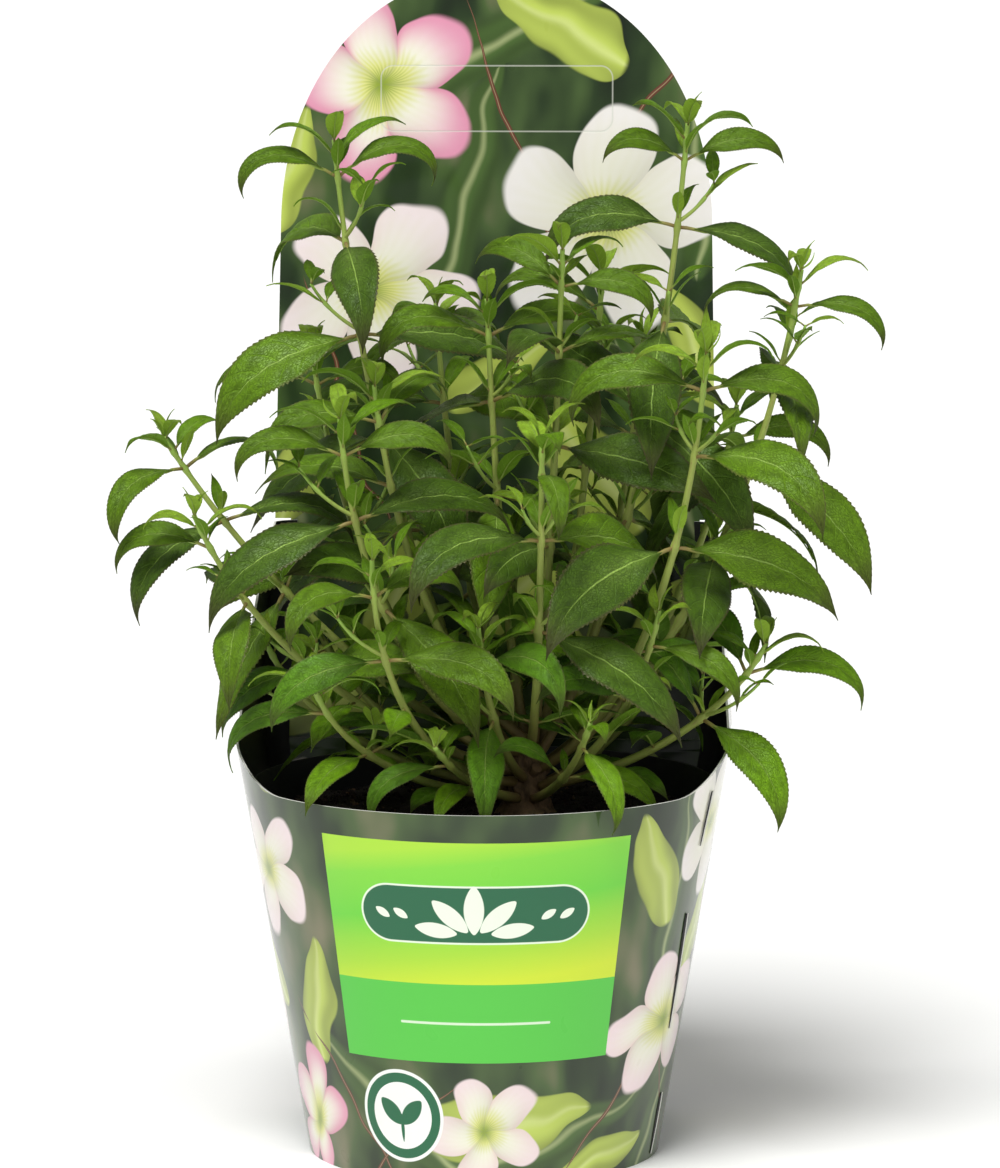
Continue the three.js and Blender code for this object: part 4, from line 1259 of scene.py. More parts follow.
class Taken:
    """Places already taken by stems and leaves."""

    def __init__(self):
        self.places, self.owners, self.spacings = np.zeros((0, 3)), np.zeros(0, int), np.zeros(0)

    def add(self, places, owner, spacing):
        self.places = np.vstack([self.places, places])
        self.owners = np.append(self.owners, np.full(len(places), owner))
        self.spacings = np.append(self.spacings, np.full(len(places), spacing))

    def touches(self, places, own_stem):
        low, high = places.min(0) - STEM_SPACING, places.max(0) + STEM_SPACING
        near = ((self.places > low) & (self.places < high)).all(1) & (self.owners != own_stem)
        if not near.any():
            return False
        gaps = np.linalg.norm(places[:, None] - self.places[near][None], axis=2)
        return bool((gaps < self.spacings[near][None]).any())


def hits_pot(places):
    """Whether any place is in or too near the mix, the pot's rim, the sleeve's wall or the card."""
    x, y, z = places.T
    if ((z > SLEEVE_RIM_HEIGHT - 10) & (y > sleeve_back(z) - BOARD_SPACING)).any():
        return True
    station = np.where(y < 0, np.arctan2(np.abs(x), -y) / (math.pi / 2),
                       1 + np.minimum(1, y / (SLEEVE_RIM_RADIUS - SLEEVE_CORNER)))
    half = sleeve_half_width(np.minimum(z, WING_TOP_HEIGHT))
    outside = np.where(y < 0, np.hypot(x, y), np.abs(x)) - half
    return bool((((z < SOIL_TOP + 3) & (outside < 6))
                 | ((z < SLEEVE_RIM_HEIGHT + 4) & (np.abs(outside) < 8))
                 | ((z < sleeve_top(station) + 5) & (np.abs(outside) < BOARD_SPACING))).any())


def full_nodes(shoot, path):
    """Distance along the stem and turn of each pair of full leaves, from the tip down."""
    gap = below = FIRST_INTERNODE
    j = 0
    while path.length - below > shoot.bare * path.length + 3:
        extra = j - len(shoot.turns) + 1
        yield j, path.length - below, shoot.turns[-1] + 80 * extra if extra > 0 else shoot.turns[j]
        gap = min(LONGEST_INTERNODE, gap + INTERNODE_GROWTH)
        below += gap
        j += 1


def has_axil_pair(index, j):
    return j > 0 and chance(index * 7 + j, 9) > AXIL_LIMIT


def leaf_sites(shoot, index, path):
    """Leaf pairs of one shoot from the tip down: distance, turn, kind, share of size, order."""
    yield path.length - 1.5, shoot.turns[0] + 90, "tip", 0.32, 0
    yield path.length - YOUNG_PAIR, shoot.turns[0] + 8, "young", 0.46, 1
    for j, at, turn in full_nodes(shoot, path):
        yield at, turn, "full", 0.9 if j > 3 else min(1, shoot.first + 0.28 * j), j + 2
        if has_axil_pair(index, j):
            yield at + 3, turn + 80, "axil", 0.36, -1


def finer_sites(shoot, index, path):
    """The small leaves that the dressed plant adds: at the tip, in bare axils, low on the limb."""
    yield path.length - 0.3, shoot.turns[0] + 8, "bud", 0.2, 20
    yield path.length - 0.6, shoot.turns[0] + 98, "bud", 0.27, 21
    for j, at, turn in full_nodes(shoot, path):
        if not has_axil_pair(index, j):
            yield at + 2.5, turn + 84, "sprig", 0.27, 22 + j
    for k in range(1, 6):
        if at - LOW_STEP * k > LOWEST_PAIR:
            yield at - LOW_STEP * k, turn + 90 * k, "low", 0.62, 30 + k


def draw_leaf(shoot, index, path, site, side):
    """A leaf of one pair, before it has tried its place. Full leaves turn to the light."""
    at, site_turn, kind, share, order = site
    rise, rise_chance, droop, droop_chance, width, petiole = LEAF_KINDS[kind]
    seed = index * 10 + order * 2 + side + (100 if kind == "tip" else 0)
    base, stem = along(path, at)
    turn = math.radians(site_turn + 180 * side + TURN_CHANCE * chance(seed, 1))
    length = shoot.leaf * share * (1 + LENGTH_CHANCE * chance(seed, 2))
    lit, new, lean, weep, roll = 0, 0, 0, 1, ROLL_CHANCE * chance(seed, 6)
    if kind == "full":
        lit, new, weep = max(0, -math.sin(turn)), 2 - min(2, order - 2), shoot.weep
        away = -stem[0] * math.cos(turn) - stem[1] * math.sin(turn)
        lean = math.degrees(math.atan2(away, stem[2]))
        outward = math.atan2(base[1] - LIGHT_SIDE[1], base[0] - LIGHT_SIDE[0])
        roll = LIGHT_ROLL * math.sin(outward - turn) + FULL_ROLL_CHANCE * chance(seed, 6)
    rise += NEW_RISE * new - FRONT_DROP * lit + LEAN_SHARE * lean + rise_chance * chance(seed, 3)
    droop += NEW_DROOP * new + droop_chance * chance(seed, 4)
    return Leaf(
        kind, order, seed, base, turn, length,
        sweep=math.radians(SWEEP_CHANCE * chance(seed, 5)),
        rise=math.radians(rise), droop=math.radians(droop) * weep,
        roll=math.radians(roll), width=length * width, petiole=petiole,
        shelter=float(np.clip((SHELTER_TOP - base[2]) / SHELTER_DEPTH, 0, 1)),
    )


def settle(drawn, taken, index):
    """The leaf at the first of its trials that touches nothing, or nothing."""
    for turn, rise, size in TRIALS:
        leaf = replace(
            drawn, turn=drawn.turn + math.radians(turn), rise=drawn.rise + math.radians(rise),
            length=drawn.length * size, width=drawn.width * size,
        )
        samples = leaf_samples(leaf)
        if not hits_pot(samples) and not taken.touches(samples, index):
            taken.add(samples, -1, LEAF_SPACING)
            return leaf
    return None


def dressed(leaf):
    """A leaf as the dressed plant has it: the newest are narrower, and all curl at the tip."""
    new = {"full": max(0, 4 - leaf.order), "axil": 1.4}.get(leaf.kind, 0)
    curl = math.radians(CURL + NEW_CURL * new + CURL_CHANCE * chance(leaf.seed, 8))
    return replace(leaf, width=leaf.width * (1 - NEW_NARROWING * new), curl=curl)


def draw_twig(index, path, j, at, turn, side):
    """A side twig from a leaf's axil: out and up in one bend."""
    seed = 3000 + index * 40 + j * 2 + side
    base, direction = along(path, at + 2)
    heading = math.radians(turn + 180 * side + TWIG_TURN_CHANCE * chance(seed, 1))
    out = np.array([math.cos(heading), math.sin(heading), 0.0])
    length = TWIG_LENGTH + TWIG_LENGTH_CHANCE * chance(seed, 2)
    bend = base + direction * length * 0.25 + out * length * 0.42
    end = bend + (direction * 0.55 + out * 0.45 + np.array([0, 0, 0.4])) * length * 0.45
    return seed, bend_through(base, bend, end, steps=8)


def stem_places(path, start):
    """Places that stand for a stem when leaves are tested against it."""
    return np.array([along(path, run)[0] for run in np.arange(start, path.length, 3)])


@lru_cache(maxsize=None)
def grow():
    """The whole plant: shoots, their paths, all leaves, and the finer twigs."""
    shoots = [Shoot(*row) for row in SHOOTS]
    paths = [stem_path(shoot) for shoot in shoots]
    taken, leaves, twigs = Taken(), [], []

    def place_pairs(shoot, index, path, sites, owner):
        for site in sites:
            for side in (0, 1):
                leaf = settle(draw_leaf(shoot, index, path, site, side), taken, owner)
                if leaf:
                    leaves.append(dressed(leaf))

    for index, path in enumerate(paths):
        taken.add(stem_places(path, 0), index, STEM_SPACING)
    for index, (shoot, path) in enumerate(zip(shoots, paths)):
        place_pairs(shoot, index, path, leaf_sites(shoot, index, path), index)
    for index, (shoot, path) in enumerate(zip(shoots, paths)):
        place_pairs(shoot, index, path, finer_sites(shoot, index, path), index)
        for j, at, turn in full_nodes(shoot, path):
            for side in (0, 1):
                seed, twig = draw_twig(index, path, j, at, turn, side)
                body = stem_places(twig, 6)
                bare = j == 0 or chance(seed, 7) < TWIG_LIMIT
                if bare or hits_pot(body) or taken.touches(body, index):
                    continue
                owner, order = 1000 + len(twigs), 40 + 4 * j + 2 * side
                taken.add(body, owner, STEM_SPACING)
                twigs.append(twig)
                sites = [(twig.length - 0.5, turn + 90, "twig", 0.26, order + 1),
                         (twig.length * TWIG_NODE, turn, "twig", 0.34, order)]
                place_pairs(shoot, index, twig, sites, owner)
    return shoots, paths, leaves, twigs


# ---- Woody crown and stems ---------------------------------------------------------------------

CROWN_SINK = 1.2        # how deep the crown sits in the mix
CROWN_HEIGHT = 27.8

# Pruned stubs on the crown: turn, height, reach and radius.
STUBS = [(70, 150, 7, 2.0), (205, 156, 8, 1.7), (300, 148, 6, 2.3), (130, 146, 7, 1.8),
         (20, 146, 6, 1.9)]


def pruned_stub(turn, height, reach, radius):
    """Points and faces of a side shoot that was cut off bluntly."""
    turn = math.radians(turn)
    heading = np.array([math.cos(turn), math.sin(turn), 0.75])
    heading /= np.linalg.norm(heading)
    side = np.cross(heading, (0, 0, 1.0))
    side /= np.linalg.norm(side)
    up = np.cross(side, heading)
    profile = [(0, 0), (radius * 1.2, 0), (radius, reach * 0.6), (radius * 0.96, reach + 5),
               (radius * 0.7, reach + 5.3), (0, reach + 5.1)]
    points, faces = lathe(profile, 14)
    root = STOOL + np.array([0, 0, height])
    return root + points[:, :1] * side + points[:, 1:2] * up + points[:, 2:] * heading, faces


def make_crown(plant):
    """The woody crown with ridged bark and a few pruned stubs."""
    rings = []
    for (r0, z0), (r1, z1) in zip(STOOL_PROFILE, STOOL_PROFILE[1:]):
        rings += [(lerp(r0, r1, s), lerp(z0, z1, s)) for s in np.arange(0, 1, 0.125)]
    foot = SOIL_TOP - CROWN_SINK
    rings = [(0, foot), *[(r, foot + z) for r, z in rings], (0, SOIL_TOP + CROWN_HEIGHT)]

    def bark(points):
        turn, radius = np.arctan2(points[:, 1], points[:, 0]), np.hypot(points[:, 0], points[:, 1])
        twist = turn + points[:, 2] * 0.03
        ridges = (np.abs(np.sin(twist * 4.5 + np.sin(points[:, 2] * 0.35) * 0.7)) ** 0.6 - 0.6) * 0.9
        knobs = np.sin(twist * 3 + points[:, 2] * 0.5) * np.sin(points[:, 2] * 0.42) * 0.9
        swollen = 1 + np.where(radius > 0.5, (ridges + knobs) / np.maximum(radius, 3), 0)
        points[:, :2] *= swollen[:, None]
        return points + STOOL

    points, faces = stacked([lathe(rings, 72, bark), *(pruned_stub(*row) for row in STUBS)])

    def colour(tree):
        place = object_place(tree)
        grain = noise(tree, vector_math(tree, "MULTIPLY", place, (1, 1, 0.3)), 320, 5, 0.65)
        tone = ramp(tree, grain, (0.28, scaled(plant.bark, 0.3)), (0.5, plant.bark),
                    (0.75, scaled(plant.bark, 1.5)))
        moss = noise(tree, place, 70, 3).fade(0.55, 0.7)
        return mix(tree, moss * 0.25, tone, paint(96, 104, 60))

    def height(tree):
        place = vector_math(tree, "MULTIPLY", object_place(tree), (1, 1, 0.25))
        return noise(tree, place, 380, 5, 0.7)

    mesh = build_mesh("crown", points, faces, [look("ridged_bark", colour, 0.9, height, 0.8)])
    point_faces_out(mesh)
    sharpen(mesh, 50)
    finish(new_object("woody_crown", mesh), "wood", "stool")


def stalk_tree():
    """Tubes along the edges of a mesh, as thick as its radius attribute says, with a map along and
    round them."""
    name = "Stalks"
    if name in bpy.data.node_groups:
        return bpy.data.node_groups[name]
    tree, given = geometry_tree(name, {
        "Geometry": "Geometry", "Sides": "Int", "Material": "Material"})
    line = flow(tree, "GeometryNodeMeshToCurve", {"Mesh": given["Geometry"]})
    ring = flow(tree, "GeometryNodeCurvePrimitiveCircle", {
        "Resolution": given["Sides"], "Radius": 1.0})
    ring = stored(tree, ring, "round", flow(tree, "GeometryNodeSplineParameter"))
    tube = flow(tree, "GeometryNodeCurveToMesh", {
        "Curve": line, "Profile Curve": ring, "Scale": recalled(tree, "thick"), "Fill Caps": True})
    run, turn = recalled(tree, "run"), recalled(tree, "round")
    place = joined(tree, run * 0.96 + 0.02, abs(turn * 2 - 1) * 0.96 + 0.02)
    return close_tree(tree, tube, "Run", place, given["Material"])


def make_tubes(name, lines, sides, material):
    """One piece of tubes. A line is its points, its radii in millimetres and its run from 0 to 1."""
    mesh = bpy.data.meshes.new(name + "_lines")
    points = np.vstack([line[0] for line in lines]) * MM
    edges, start = [], 0
    for line in lines:
        edges += [(k, k + 1) for k in range(start, start + len(line[0]) - 1)]
        start += len(line[0])
    mesh.from_pydata(points.tolist(), edges, [])
    for label, column, scale in (("thick", 1, MM), ("run", 2, 1)):
        values = (np.concatenate([line[column] for line in lines]) * scale).astype(np.float32)
        mesh.attributes.new(label, "FLOAT", "POINT").data.foreach_set("value", values)
    piece = run_nodes(name, mesh, stalk_tree(), {"Sides": sides, "Material": material})
    piece.data.polygons.foreach_set("use_smooth", np.ones(len(piece.data.polygons), bool))
    for label in ("thick", "run", "round", "sharp_edge", "sharp_face"):
        if label in piece.data.attributes:
            piece.data.attributes.remove(piece.data.attributes[label])
    return piece


STEM_RADII = (2.05, 0.95)       # at the foot and at the tip
TWIG_RADII = (0.85, 0.6)
STEM_START = -3                 # stems begin this far inside the crown
BARE_GAP, BARE_STEP = 26, 30    # from the leaves to the first bare node, and from node to node
LOWEST_NODE = 8


def stem_line(path, start, nodes, radii):
    """A stem's line with its taper and the swellings at its nodes."""
    runs = np.linspace(start, path.length, max(8, int((path.length - start) / 1.8)))
    points = np.array([along(path, run)[0] for run in runs])
    share = np.clip(runs / path.length, 0, 1)
    radii = lerp(*radii, share)
    for node in nodes:
        radii = radii * (1 + 0.42 * np.exp(-((runs - node) / 1.9) ** 2))
    return points, radii, share


def make_stems(plant):
    shoots, paths, _, twigs = grow()
    lines = []
    for shoot, path in zip(shoots, paths):
        nodes = [at for _, at, _ in full_nodes(shoot, path)]
        bare = np.arange(shoot.bare * path.length - BARE_GAP, LOWEST_NODE, -BARE_STEP)
        nodes += [*bare, path.length - YOUNG_PAIR]
        lines.append(stem_line(path, STEM_START, nodes, STEM_RADII))
    stems = make_tubes("stems", lines, 12, stem_look(plant))
    limbs = [f"limb_{shoot.name}" for shoot in shoots if shoot.limb]
    finish(stems, "stem", *limbs)
    lines = [stem_line(twig, 0, [twig.length * TWIG_NODE], TWIG_RADII) for twig in twigs]
    finish(make_tubes("side_twigs", lines, 7, stem_look(plant, young=True)), "stem")


def stem_look(plant, young=False):
    def colour(tree):
        along_stem, round_stem, _ = parts_of(map_place(tree, "Run"))
        if young:
            base = ramp(tree, along_stem, (0.0, plant.stem), (1.0, plant.new_stem))
        else:
            base = ramp(tree, along_stem, (0.03, plant.old_stem), (0.32, plant.stem),
                        (0.8, plant.stem), (1.0, plant.new_stem))
        place = joined(tree, along_stem * 60, round_stem * 3)
        speck = noise(tree, place, 2.2, 3, 0.6).fade(0.58, 0.72)
        streak = noise(tree, joined(tree, along_stem * 12, round_stem * 9), 1.6, 3)
        base = mix(tree, speck * 0.45, base, paint(120, 92, 62))
        return mix(tree, streak.fade(0.5, 0.75) * 0.4, base, paint(150, 106, 78))

    def height(tree):
        along_stem, round_stem, _ = parts_of(map_place(tree, "Run"))
        return noise(tree, joined(tree, along_stem * 40, round_stem * 6), 1.5, 3)

    return look("twig_bark" if young else "stem_bark", colour, 0.62, height, 0.25)


# ---- Leaves ------------------------------------------------------------------------------------

VEINS = 7.5             # side veins along a blade
VEIN_SWEEP = 0.17       # how far they run forward, as a share of the blade
NOTCH = 0.95            # where the outline dips between two teeth
TOOTH = 1.018           # and how far a tooth stands out
MIDRIB_STEPS = 72
MIDRIB_END = 0.84       # the stalk runs on below this share of the blade
SMALL_LEAF = 24         # blades up to this length have the coarser grid
SHELTERED = 0.62        # leaves more sheltered than this have the colours of the crown's shade
COOL_LIMIT = 0.42       # and those of them whose chance is below this the duller green
MAP_EDGE = 0.01         # free margin of the blades' map
MAP_HALF = 0.235        # half a blade's width in it
MAP_TOP, MAP_BELOW = 0.25, 0.75     # where the midrib of the upper and of the lower face lies in it


@dataclass
class Template:
    """The grid that all blades of one fineness share: a flat ring of points at each station along
    the blade, over the top from right to left and back below, with a tooth between stations on
    each side."""

    stations: int
    rows: tuple
    thickness: float        # as a share of a full blade's

    def __post_init__(self):
        top = [*reversed(self.rows), 0.0, *[-r for r in self.rows]]
        self.inner = len(top)
        self.v = np.array([NOTCH, *top, -NOTCH, *reversed(top)])
        self.below = np.arange(len(self.v)) > self.inner + 1
        ring, count = len(self.v), self.stations
        right, left = 0, self.inner + 1
        teeth = (count + 1) * ring
        faces, slots, spots = [], [], []

        def place(index, below):
            if index >= teeth:
                u = ((index - teeth) % count + 0.75) / count
                v = 1.0 if index < teeth + count else -1.0
            else:
                u, v = index // ring / count, self.v[index % ring]
            middle = MAP_BELOW if below else MAP_TOP
            return MAP_EDGE + (1 - 2 * MAP_EDGE) * u, middle + MAP_HALF * v

        def add_face(corners, below):
            faces.append(corners)
            slots.append(1 if below else 0)
            spots.extend(place(c, below) for c in corners)

        for k in range(count):
            here, there = k * ring, (k + 1) * ring
            for j in range(1, self.inner):
                add_face((here + j, here + j + 1, there + j + 1, there + j), False)
            for j in range(self.inner + 2, ring - 1):
                add_face((here + j, here + j + 1, there + j + 1, there + j), True)
            for edge, upper, lower, tooth, flip in (
                (right, 1, ring - 1, teeth + k, False),
                (left, self.inner, self.inner + 2, teeth + count + k, True),
            ):
                for inner, below in ((upper, False), (lower, True)):
                    fan = [(here + inner, here + edge, tooth), (here + inner, tooth, there + inner),
                           (there + inner, tooth, there + edge)]
                    for corners in fan:
                        add_face(corners[::-1] if flip == below else corners, below)
        for start, turned in ((0, True), (count * ring, False)):
            cap = tuple(range(start, start + ring))
            add_face(cap[::-1] if turned else cap, True)
        self.faces, self.slots, self.spots = faces, slots, spots
        self.margin = np.zeros(teeth + 2 * count, bool)
        self.margin[teeth:] = True
        self.margin[:teeth].reshape(-1, ring)[:, [right, left]] = True


FINE = Template(30, (0.22, 0.46, 0.7, 0.87), 1)
SMALL = Template(13, (0.45,), 0.75)


def blade_relief(u, v, leaf):
    """Height of the blade's surface over its smooth form, in millimetres: quilted between the side
    veins, sunk along the midrib and gently waved at the margin."""
    scale = leaf.width / 14
    phase = (u - VEIN_SWEEP * np.abs(v) ** 1.25) * VEINS + np.where(v > 0, 0.5, 0.0)
    quilt = np.sin(math.pi * phase) ** 2 * np.clip(1 - np.abs(v), 0, 1) ** 0.4
    quilt *= np.sin(math.pi * u) ** 0.4
    side = np.where(v > 0, chance(leaf.seed, 20), chance(leaf.seed, 21))
    wave = np.sin(2 * math.pi * (1.9 * u + side)) * v * v * (0.05 + 0.02 * side)
    return scale * (0.85 * quilt - 0.35 * np.exp(-(v / 0.08) ** 2)) + wave * leaf.width


def midrib_places(leaf, share):
    """Places on the midrib at shares of the whole length."""
    line = leaf_line(leaf, MIDRIB_STEPS)
    fine = np.arange(MIDRIB_STEPS + 1) / MIDRIB_STEPS
    return np.stack([np.interp(share, fine, line[:, k]) for k in range(3)], 1)


def blade_points(leaf, template, thickness):
    def at(u, v, below):
        share = (leaf.petiole + u * leaf.length) / (leaf.petiole + leaf.length)
        middle = midrib_places(leaf, share)
        _, across, normal = leaf_axes(leaf, share)
        least = np.where(u < 0.5, 0.4, 0.14)
        width = np.maximum(leaf.width * blade_outline(u), least)
        relief = blade_relief(u, v, leaf) * np.minimum(1, width / leaf.width * 3)
        depth = thickness * (0.25 + 0.75 * np.sqrt(np.clip(1 - v * v, 0, 1)))
        lift = width * blade_lift(v) + relief - np.where(below, depth, 0)
        return middle + across * (width * v)[:, None] + normal * lift[:, None]

    count, ring = template.stations, len(template.v)
    u = np.repeat(np.arange(count + 1) / count, ring)
    v = np.tile(template.v, count + 1)
    body = at(u, v, np.tile(template.below, count + 1))
    tips = (np.arange(count) + 0.75) / count
    level = np.zeros(count, bool)
    return np.vstack([body, *(at(tips, np.full(count, v), level) for v in (TOOTH, -TOOTH))])


def tint_of(leaf):
    """Which piece a leaf belongs to, by its kind, its age and how sheltered it is."""
    if leaf.kind in ("tip", "bud"):
        return "young"
    if leaf.kind in ("young", "twig", "axil", "sprig"):
        return "young" if chance(leaf.seed, 30) > 0.35 else "bright"
    sheltered = leaf.shelter + 0.35 * chance(leaf.seed, 31)
    if sheltered > SHELTERED:
        return "cool" if chance(leaf.seed, 33) < COOL_LIMIT else "bright"
    return "deep" if leaf.order > 2 and chance(leaf.seed, 32) < 0.35 - leaf.shelter else "middle"


def make_leaves(plant):
    groups = {"deep": [], "middle": [], "bright": [], "cool": [], "young": []}
    shoots, _, leaves, _ = grow()
    for leaf in leaves:
        groups[tint_of(leaf)].append(leaf)
    masses = [f"foliage_{shoot.name}" for shoot in shoots]
    for name, members in groups.items():
        parts, slots, spots, margin = [], [], [], []
        for leaf in members:
            template = FINE if leaf.length > SMALL_LEAF else SMALL
            thickness = plant.blade_thickness / MM * template.thickness
            parts.append((blade_points(leaf, template, thickness), template.faces))
            slots += template.slots
            spots += template.spots
            margin.append(template.margin)
        tint = getattr(plant, name)
        looks = [upper_blade(name, tint, plant), lower_blade(name, tint)]
        mesh = build_mesh(name, *stacked(parts), looks, slots, {"Blade": spots, "OFBake": spots})
        point_faces_out(mesh)
        ends = np.empty(2 * len(mesh.edges), np.int32)
        mesh.edges.foreach_get("vertices", ends)
        at_margin = np.concatenate(margin)[ends].reshape(-1, 2).all(1)
        mesh.attributes.new("sharp_edge", "BOOLEAN", "EDGE").data.foreach_set("value", at_margin)
        finish(new_object(f"leaves_{name}", mesh), "leaves", *masses)


def make_stalks(plant):
    """Leaf stalks that run on below each blade as its midrib."""
    _, _, leaves, _ = grow()
    lines = []
    for leaf in leaves:
        total = leaf.petiole + leaf.length
        radius = plant.stalk_radius / MM * np.clip(leaf.length / 60, 0.3, 1) ** 0.7
        steps = 16 if leaf.length > SMALL_LEAF else 8
        share = np.linspace(0, (leaf.petiole + MIDRIB_END * leaf.length) / total, steps)
        normal = leaf_axes(leaf, share)[2]
        on_blade = np.clip((share * total - leaf.petiole) / leaf.length, 0, 1)
        radii = radius * lerp(1.0, 0.22, on_blade ** 0.55)
        sunk = smooth_step(on_blade / 0.05) * (radii * 0.9 + 0.3 * radius)
        middle = midrib_places(leaf, share) - normal * sunk[:, None]
        lines.append((middle, radii, np.linspace(0, 1, steps)))
    finish(make_tubes("leaf_stalks", lines, 6, stalk_look()), "leaves")


def stalk_look():
    def colour(tree):
        place = parts_of(map_place(tree, "Run"))[0]
        tone = ramp(tree, place, (0.0, paint(124, 96, 58)), (0.1, paint(134, 124, 62)),
                    (0.22, paint(142, 170, 68)), (1.0, paint(132, 166, 62)))
        flush = noise(tree, map_place(tree, "Run"), 9, 2).fade(0.5, 0.7)
        return mix(tree, flush * 0.25, tone, paint(138, 92, 62))

    return look("leaf_stalk", colour, 0.6)


def blade_place(tree, middle):
    """Along and across a blade, from its map; across goes from -1 to 1."""
    x, y, _ = parts_of(map_place(tree, "Blade"))
    return (x - MAP_EDGE) / (1 - 2 * MAP_EDGE), (y - middle) / MAP_HALF


def blade_pattern(tree, middle):
    """Side veins, midrib and the fine net between them, each from 0 to 1."""
    u, v = blade_place(tree, middle)
    width = abs(v)
    phase = (u - (width ** 1.25) * VEIN_SWEEP) * VEINS + v.math("GREATER_THAN", 0.0) * 0.5
    off = abs(phase - phase.math("ROUND"))
    veins = off.fade(0.07, 0.015) * width.fade(0.95, 0.45) * u.fade(0.95, 0.75)
    midrib = (width + u * 0.02).fade(0.05, 0.02)
    place = joined(tree, u * 46 + width * 6, v * 15)
    cells = flow(tree, "ShaderNodeTexVoronoi", {
        "Vector": place, "Scale": 1.0}, feature="DISTANCE_TO_EDGE")
    return u, v, veins, midrib, cells.fade(0.12, 0.02)


def upper_blade(name, tint, plant):
    def shade(factor, lift=0.0):
        return np.clip(scaled(tint, factor, lift), 0, 1)

    def colour(tree):
        u, v, veins, midrib, net = blade_pattern(tree, MAP_TOP)
        mottle = noise(tree, joined(tree, u * 7, v * 2.4), 1.0, 4, 0.6)
        blade = ramp(tree, mottle, (0.3, shade(0.75)), (0.52, shade(1.15)), (0.72, shade(1.6)))
        # Painted glow of light through the blade: lighter and yellower towards its foot and midrib.
        painted_glow = u.fade(0.75, 0.0) * abs(v).fade(0.8, 0.0)
        blade = mix(tree, painted_glow * 0.3, blade, plant.rib)
        # Painted shade: the net sunk between the veins is darker.
        blade = mix(tree, net * 0.35, blade, shade(0.7))
        blade = mix(tree, veins * 0.3, blade, shade(2.4, 0.01))
        blade = mix(tree, midrib * u.fade(1.15, 0.3), blade, plant.rib)
        edge = abs(v).fade(0.84, 0.99) * 0.6 + u.fade(0.66, 1.0) * 0.55
        return mix(tree, edge.math("MINIMUM", 0.75), blade, plant.bronze)

    def gloss(tree):
        _, _, veins, _, net = blade_pattern(tree, MAP_TOP)
        return net * 0.08 + veins * 0.12 + 0.4

    def height(tree):
        u, v, veins, midrib, net = blade_pattern(tree, MAP_TOP)
        grain = noise(tree, joined(tree, u * 60, v * 18), 1.0, 3)
        return grain * 0.5 - net - veins - midrib

    return look(f"leaf_{name}_top", colour, gloss, height, 0.34, Specular_IOR_Level=0.2)


def lower_blade(name, tint):
    base = np.array(tint) * 0.85 + np.array(paint(120, 140, 70)) * 0.28

    def colour(tree):
        _, _, veins, midrib, net = blade_pattern(tree, MAP_BELOW)
        blade = mix(tree, net * 0.3, base, base * 0.8)
        ribs = (veins + midrib).math("MINIMUM", 1.0)
        return mix(tree, ribs * 0.6, blade, np.minimum(1, base * 1.5 + 0.02))

    def height(tree):
        _, _, veins, midrib, net = blade_pattern(tree, MAP_BELOW)
        return veins + midrib + net * 0.3

    return look(f"leaf_{name}_underside", colour, 0.62, height, 0.2, Specular_IOR_Level=0.15)


# ---- Stage -------------------------------------------------------------------------------------


def make_stage(stage):
    rings = [(radius, 0) for radius in (0, 400, 1500, 6000, 60000)]
    floor_mesh = build_mesh("floor", *lathe(rings, 64), [look("pale_floor", stage.floor, 0.8)])
    floor = new_object("floor", floor_mesh)
    if floor_mesh.polygons[0].normal.z < 0:
        floor_mesh.flip_normals()
    world = bpy.data.worlds.new("soft_studio")
    world.use_nodes = True
    world.node_tree.nodes["Background"].inputs["Color"].default_value = (1, 1, 1, 1)
    world.node_tree.nodes["Background"].inputs["Strength"].default_value = stage.sky
    bpy.context.scene.world = world
    for name, strength, turn, height, spread in (
        ("key", stage.key, -24, 64, 30), ("fill", stage.fill, 40, 26, 60),
    ):
        lamp = bpy.data.lights.new(name, "SUN")
        lamp.energy, lamp.angle = strength, math.radians(spread)
        holder = bpy.data.objects.new(name, lamp)
        a, e = math.radians(turn), math.radians(height)
        source = Vector((math.sin(a) * math.cos(e), -math.cos(a) * math.cos(e), math.sin(e)))
        holder.location = source * 3
        holder.rotation_mode = "QUATERNION"
        holder.rotation_quaternion = source.to_track_quat("Z", "Y")
        bpy.context.scene.collection.objects.link(holder)
    make_camera(stage)
    bpy.context.scene.view_settings.view_transform = "Standard"


CAMERA_TURN = 2.5       # degrees to the right of the front
CAMERA_PITCH = 7.28     # degrees below level
CAMERA_YAW = -0.166     # degrees right of the pot's middle, counted to the left


def make_camera(stage):
    lens = bpy.data.cameras.new("camera")
    lens.lens, lens.sensor_width, lens.clip_start, lens.clip_end = stage.lens, 36, 0.1, 200
    camera = bpy.data.objects.new("camera", lens)
    turn = math.radians(CAMERA_TURN)
    away = stage.camera_distance
    camera.location = (away * math.sin(turn), -away * math.cos(turn), stage.camera_height)
    camera.rotation_euler = (math.radians(90 - CAMERA_PITCH), 0, turn + math.radians(CAMERA_YAW))
    bpy.context.scene.collection.objects.link(camera)
    bpy.context.scene.camera = camera


# ---- Operators and panel -----------------------------------------------------------------------


class MakePot(bpy.types.Operator):
    """Make the moulded nursery pot"""

    bl_idname = "weigela.make_pot"
    bl_label = "Nursery pot"

    def execute(self, context):
        make_pot(context.scene.weigela_pot)
        return {"FINISHED"}


class MakeMix(bpy.types.Operator):
    """Make the growing mix and its crumbs"""

    bl_idname = "weigela.make_mix"
    bl_label = "Growing mix"

    def execute(self, context):
        make_mix(context.scene.weigela_pot)
        return {"FINISHED"}


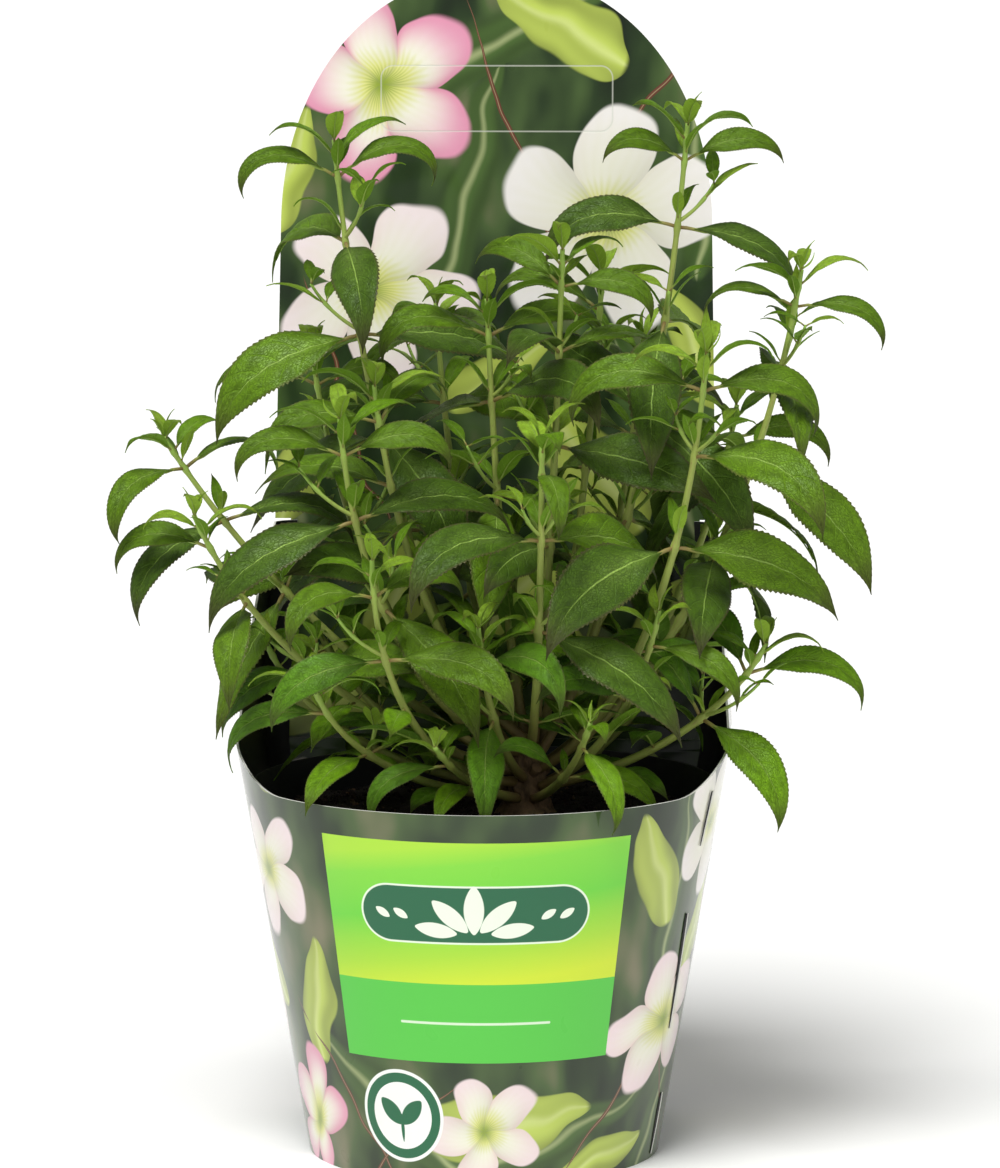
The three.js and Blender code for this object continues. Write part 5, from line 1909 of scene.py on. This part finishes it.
class MakeSleeve(bpy.types.Operator):
    """Make the printed sleeve, its locking slots and the tall back card"""

    bl_idname = "weigela.make_sleeve"
    bl_label = "Printed sleeve"

    def execute(self, context):
        sleeve = context.scene.weigela_sleeve
        make_sleeve(sleeve)
        make_card(sleeve)
        make_slits(sleeve)
        return {"FINISHED"}


class MakeCrown(bpy.types.Operator):
    """Make the woody crown at the soil"""

    bl_idname = "weigela.make_crown"
    bl_label = "Woody crown"

    def execute(self, context):
        make_crown(context.scene.weigela_plant)
        return {"FINISHED"}


class MakeStems(bpy.types.Operator):
    """Grow the stems and their side twigs"""

    bl_idname = "weigela.make_stems"
    bl_label = "Stems and twigs"

    def execute(self, context):
        make_stems(context.scene.weigela_plant)
        return {"FINISHED"}


class MakeLeaves(bpy.types.Operator):
    """Grow the leaf blades, a piece for each tint, and the stalks that carry them"""

    bl_idname = "weigela.make_leaves"
    bl_label = "Leaves"

    def execute(self, context):
        make_leaves(context.scene.weigela_plant)
        make_stalks(context.scene.weigela_plant)
        return {"FINISHED"}


class MakeStage(bpy.types.Operator):
    """Set out the floor, the light and the camera"""

    bl_idname = "weigela.make_stage"
    bl_label = "Stage"

    def execute(self, context):
        make_stage(context.scene.weigela_stage)
        return {"FINISHED"}


OPERATORS = (MakePot, MakeMix, MakeSleeve, MakeCrown, MakeStems, MakeLeaves, MakeStage)
SETTINGS = {
    "weigela_pot": PotSettings,
    "weigela_sleeve": SleeveSettings,
    "weigela_plant": PlantSettings,
    "weigela_stage": StageSettings,
}


class WeigelaPanel(bpy.types.Panel):
    """Lists the makers of each piece with their settings"""

    bl_idname = "VIEW3D_PT_weigela"
    bl_label = "Potted weigela"
    bl_space_type = "VIEW_3D"
    bl_region_type = "UI"
    bl_category = "Weigela"

    def draw(self, context):
        for operator in OPERATORS:
            self.layout.operator(operator.bl_idname)
        for name, group in SETTINGS.items():
            box = self.layout.box()
            box.label(text=group.__doc__)
            for field in group.__annotations__:
                box.prop(getattr(context.scene, name), field)


def register():
    for kind in (*SETTINGS.values(), *OPERATORS, WeigelaPanel):
        bpy.utils.register_class(kind)
    for name, group in SETTINGS.items():
        setattr(bpy.types.Scene, name, bpy.props.PointerProperty(type=group))


def unregister():
    for name in SETTINGS:
        delattr(bpy.types.Scene, name)
    for kind in reversed((*SETTINGS.values(), *OPERATORS, WeigelaPanel)):
        bpy.utils.unregister_class(kind)


def main():
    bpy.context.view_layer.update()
    register()
    for operator in OPERATORS:
        family, name = operator.bl_idname.split(".")
        if getattr(getattr(bpy.ops, family), name)() != {"FINISHED"}:
            raise RuntimeError(f"{operator.bl_label} was not finished")


if __name__ == "__main__":
    main()
